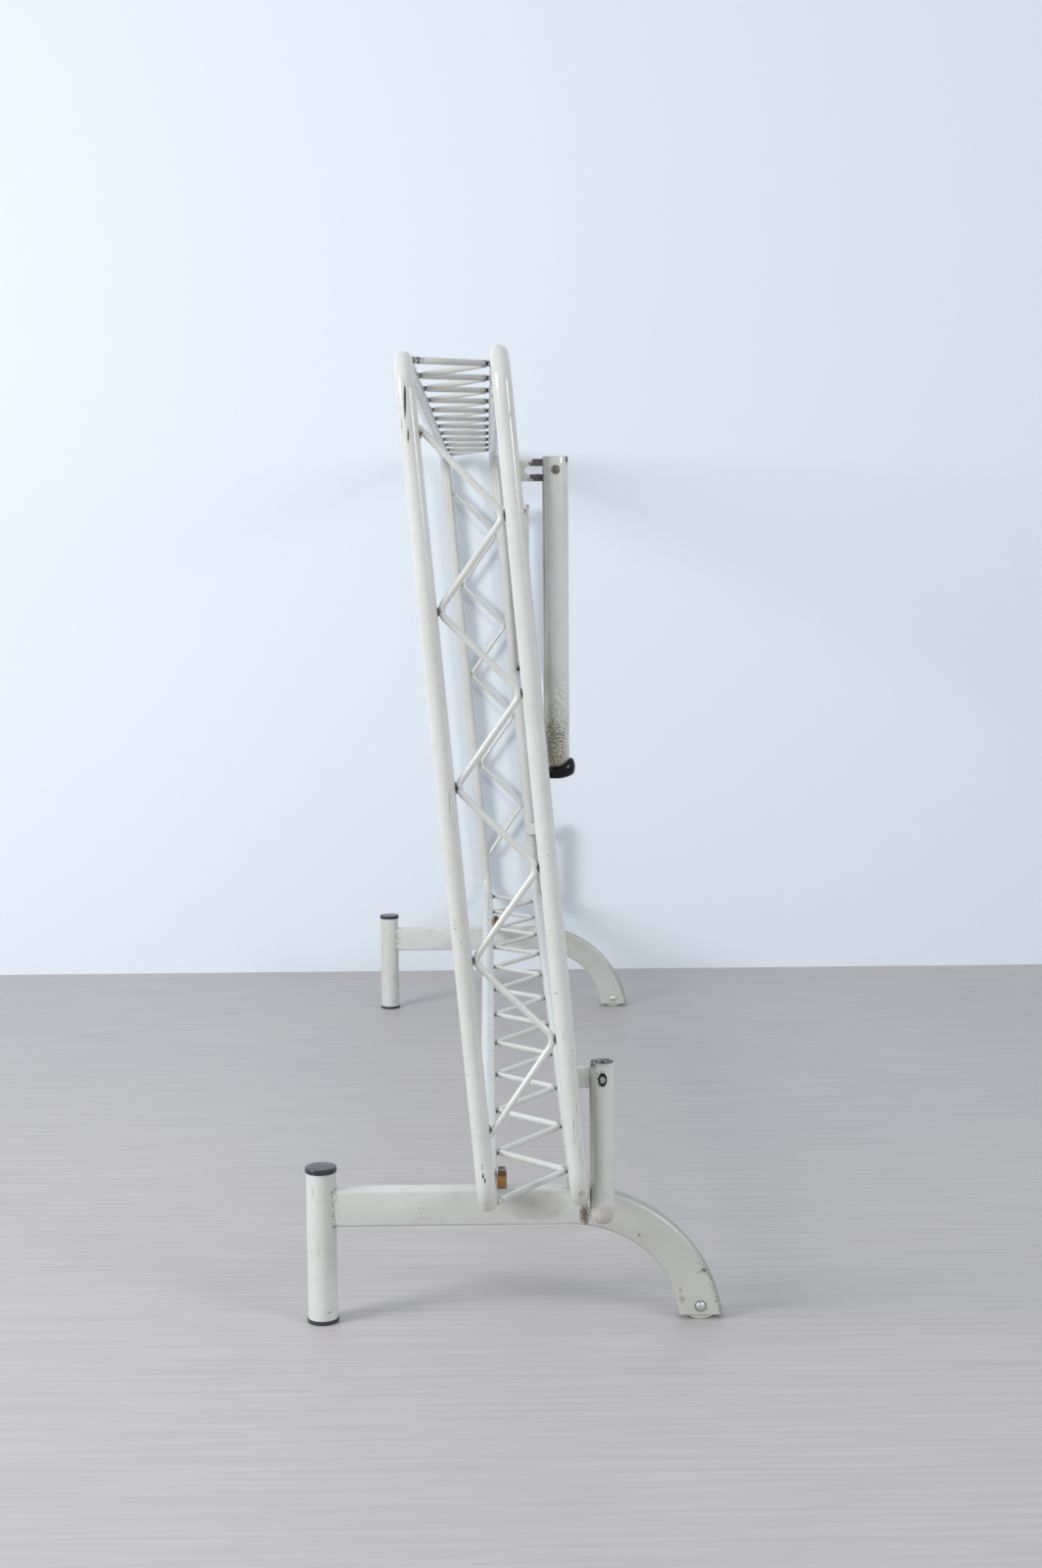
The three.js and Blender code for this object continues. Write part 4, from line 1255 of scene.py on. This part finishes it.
def build_arm(level, where):
    end = ENDS[where]
    inward = -end
    y = end * (FRAME_LENGTH / 2 - ARM_INSET)
    tag = f"{level}_{where}"
    arm_body = "arm_" + tag
    pin_body = "pin_upper_" + where if level == "upper" else "frame"
    place(arm_tube("arm_" + tag, level, y, inward), arm_body, "lacquer", "arm_" + tag)
    plate, beads = bracket("bracket_" + tag, level, y, inward)
    place(plate, "frame", "lacquer", "bracket_" + tag)
    place(beads, "frame", "lacquer")
    pin = paint(pivot_pin("pivot_pin_" + tag, level, y, inward), bolt_finish[level])
    place(pin, pin_body, "bare_steel", "pivot_pin_" + tag)
    nut = paint(pivot_nut("pivot_nut_" + tag, level, y, inward), steel_finish)
    place(nut, pin_body, "bare_steel", "pivot_nut_" + tag)
    if level == "upper":
        tip = paint(arm_tip("arm_tip_" + tag, level, y), tip_finish)
        place(tip, arm_body, "black_plastic", "arm_tip_" + tag)


# ---- Dirt round the welds ----

CELL = 60.0  # the size of the cubes that welds are sorted into, larger than any reach


def cell_of(point):
    return [round(c / CELL) for c in point]


def paint_grime():
    """Writes how close each point of the new pieces is to a weld, as the attribute grime."""
    cells = {}
    for point, reach in welds:
        cells.setdefault(tuple(cell_of(point)), []).append((point, reach))
    neighbours = [(i, j, k) for i in (-1, 0, 1) for j in (-1, 0, 1) for k in (-1, 0, 1)]
    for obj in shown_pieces():
        if obj.type != "MESH" or "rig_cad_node" in obj:
            continue
        values = []
        for vertex in obj.data.vertices:
            position = vertex.co / MM
            x, y, z = cell_of(position)
            best = 0.0
            for i, j, k in neighbours:
                for point, reach in cells.get((x + i, y + j, z + k), ()):
                    best = max(best, 1 - (position - point).length / reach)
            values.append(best)
        attribute = obj.data.attributes.new("grime", "FLOAT", "POINT")
        attribute.data.foreach_set("value", values)


# ---- Finishes that several pieces share ----

lower_bolt_pale_spot = (ARMS["lower"]["x"] + 0.5, 0, ARMS["lower"]["z"] - 1.5)
rod_finish = lacquer("rod_lacquer", along=1)
weld_finish = weld_material()
foot_weld_finish = lacquer("foot_weld_lacquer")
cap_finish = plastic(
    "cap_plastic",
    dark=(0.016, 0.019, 0.027), light=(0.030, 0.036, 0.050),
    rough=(0.30, 0.55), scuff=0.16, coat=0.15,
)
tip_finish = plastic(
    "tip_plastic",
    dark=(0.003, 0.003, 0.0035), light=(0.006, 0.006, 0.007),
    rough=(0.09, 0.18), scuff=0.02, grain=500, specular=0.24,
)
glide_finish = plastic(
    "glide_nylon",
    dark=(0.50, 0.50, 0.45), light=(0.60, 0.60, 0.55),
    rough=(0.40, 0.65), scuff=0.2,
)
amber_finish = amber_plastic()
zinc_finish = zinc_steel()
steel_finish = bare_steel("bare_steel")
rusty_finish = bare_steel("rusty_screw")
bolt_finish = {
    "upper": bare_steel("worn_pin", tone=1.9),
    "lower": bare_steel("bolt_end", tone=0.6, pale_spot_at=lower_bolt_pale_spot),
}
inside_finish = tube_inside()

build_frame()
for foot_end in ENDS:
    build_foot(foot_end)
for arm_level in ARMS:
    for arm_end in ENDS:
        build_arm(arm_level, arm_end)
paint_grime()


# ---- Floor, wall, light and camera, in metres ----

WALL_Y = 1.168
ROOM_REACH = 9.0
ROOM_HEIGHT = 6.0
STUDIO_WHITE = (0.96, 0.98, 1.0)
SKY_COLOR = (0.86, 0.93, 1.0, 1)
SKY_STRENGTH = 0.70
CAMERA_PLACE = (-0.0258, -3.4881, 0.9344)
CAMERA_YAW, CAMERA_PITCH, CAMERA_ROLL = 0.0152, -0.1092, -0.0072
CAMERA_LENS = 72.03  # mm, on a sensor 36 mm wide


def stage_plane(name, corners, finish):
    mesh = bpy.data.meshes.new(name)
    mesh.from_pydata(corners, [], [(0, 1, 2, 3)])
    mesh.materials.append(finish)
    obj = add_to_scene(name, mesh)


def floor_finish():
    n = Nodes("floor_finish")
    grain = n.noise(1.0, 6.0, n.scaled((4.5, 110.0, 1.0)))
    color = n.mix(n.ramp(grain, 0.3, 0.7), (0.460, 0.423, 0.414), (0.532, 0.494, 0.482))
    color = n.cover(color, n.ramp(n.noise(2.2, 3), 0.3, 0.7), 0.3, (0.455, 0.426, 0.421))
    n.surface(Base_Color=color, Roughness=0.5)
    n.bump(grain, 0.0003, 0.2)
    return n.material


def wall_finish():
    """Painted plaster. Only the side that faces the rack is seen, so the rack shows from behind."""
    n = Nodes("wall_finish")
    n.surface(Base_Color=(0.782, 0.828, 0.875, 1), Roughness=0.9)
    n.bump(n.noise(55, 4), 0.0008, 0.25)
    clear = n.node("BsdfTransparent")
    facing = n.node("NewGeometry")
    sides = n.node("MixShader")
    n.link(facing.outputs["Backfacing"], sides.inputs[0])
    n.link(n.shader.outputs[0], sides.inputs[1])
    n.link(clear.outputs[0], sides.inputs[2])
    n.link(sides.outputs[0], n.output.inputs["Surface"])
    return n.material


def build_room():
    r = ROOM_REACH
    stage_plane("floor", [(-r, -r, 0), (r, -r, 0), (r, r, 0), (-r, r, 0)], floor_finish())
    wall_corners = [(-r, WALL_Y, 0), (r, WALL_Y, 0), (r, WALL_Y, ROOM_HEIGHT), (-r, WALL_Y, ROOM_HEIGHT)]
    stage_plane("wall", wall_corners, wall_finish())


def area_light(name, location, target, size, power):
    data = bpy.data.lights.new(name, "AREA")
    data.size = size
    data.energy = power
    data.color = STUDIO_WHITE
    obj = add_to_scene(name, data)
    obj.location = location
    obj.rotation_euler = (Vector(target) - Vector(location)).to_track_quat("-Z", "Y").to_euler()


def build_light():
    world = bpy.data.worlds.new("studio")
    world.use_nodes = True
    sky = world.node_tree.nodes["Background"]
    sky.inputs[0].default_value = SKY_COLOR
    sky.inputs[1].default_value = SKY_STRENGTH
    bpy.context.scene.world = world
    area_light("key", (-3.0, -2.3, 1.9), (-0.2, 0.2, 0.7), 1.3, 100)
    area_light("fill", (2.6, -3.0, 1.8), (0, 0.2, 0.6), 1.0, 32)


def build_camera():
    data = bpy.data.cameras.new("camera")
    data.sensor_fit = "HORIZONTAL"
    data.sensor_width = 36.0
    data.lens = CAMERA_LENS
    data.clip_start, data.clip_end = 0.05, 60
    heading = Vector((math.sin(CAMERA_YAW), math.cos(CAMERA_YAW), 0))
    forward = heading * math.cos(CAMERA_PITCH) + Z * math.sin(CAMERA_PITCH)
    right = heading.cross(Z)
    up = right.cross(forward)
    tilted_right = right * math.cos(CAMERA_ROLL) + up * math.sin(CAMERA_ROLL)
    tilted_up = up * math.cos(CAMERA_ROLL) - right * math.sin(CAMERA_ROLL)
    turn = Matrix((tilted_right, tilted_up, -forward)).transposed().to_4x4()
    camera = add_to_scene("camera", data)
    camera.matrix_world = Matrix.Translation(CAMERA_PLACE) @ turn
    bpy.context.scene.camera = camera


build_room()
build_light()
build_camera()
bpy.context.scene.view_settings.view_transform = "Standard"
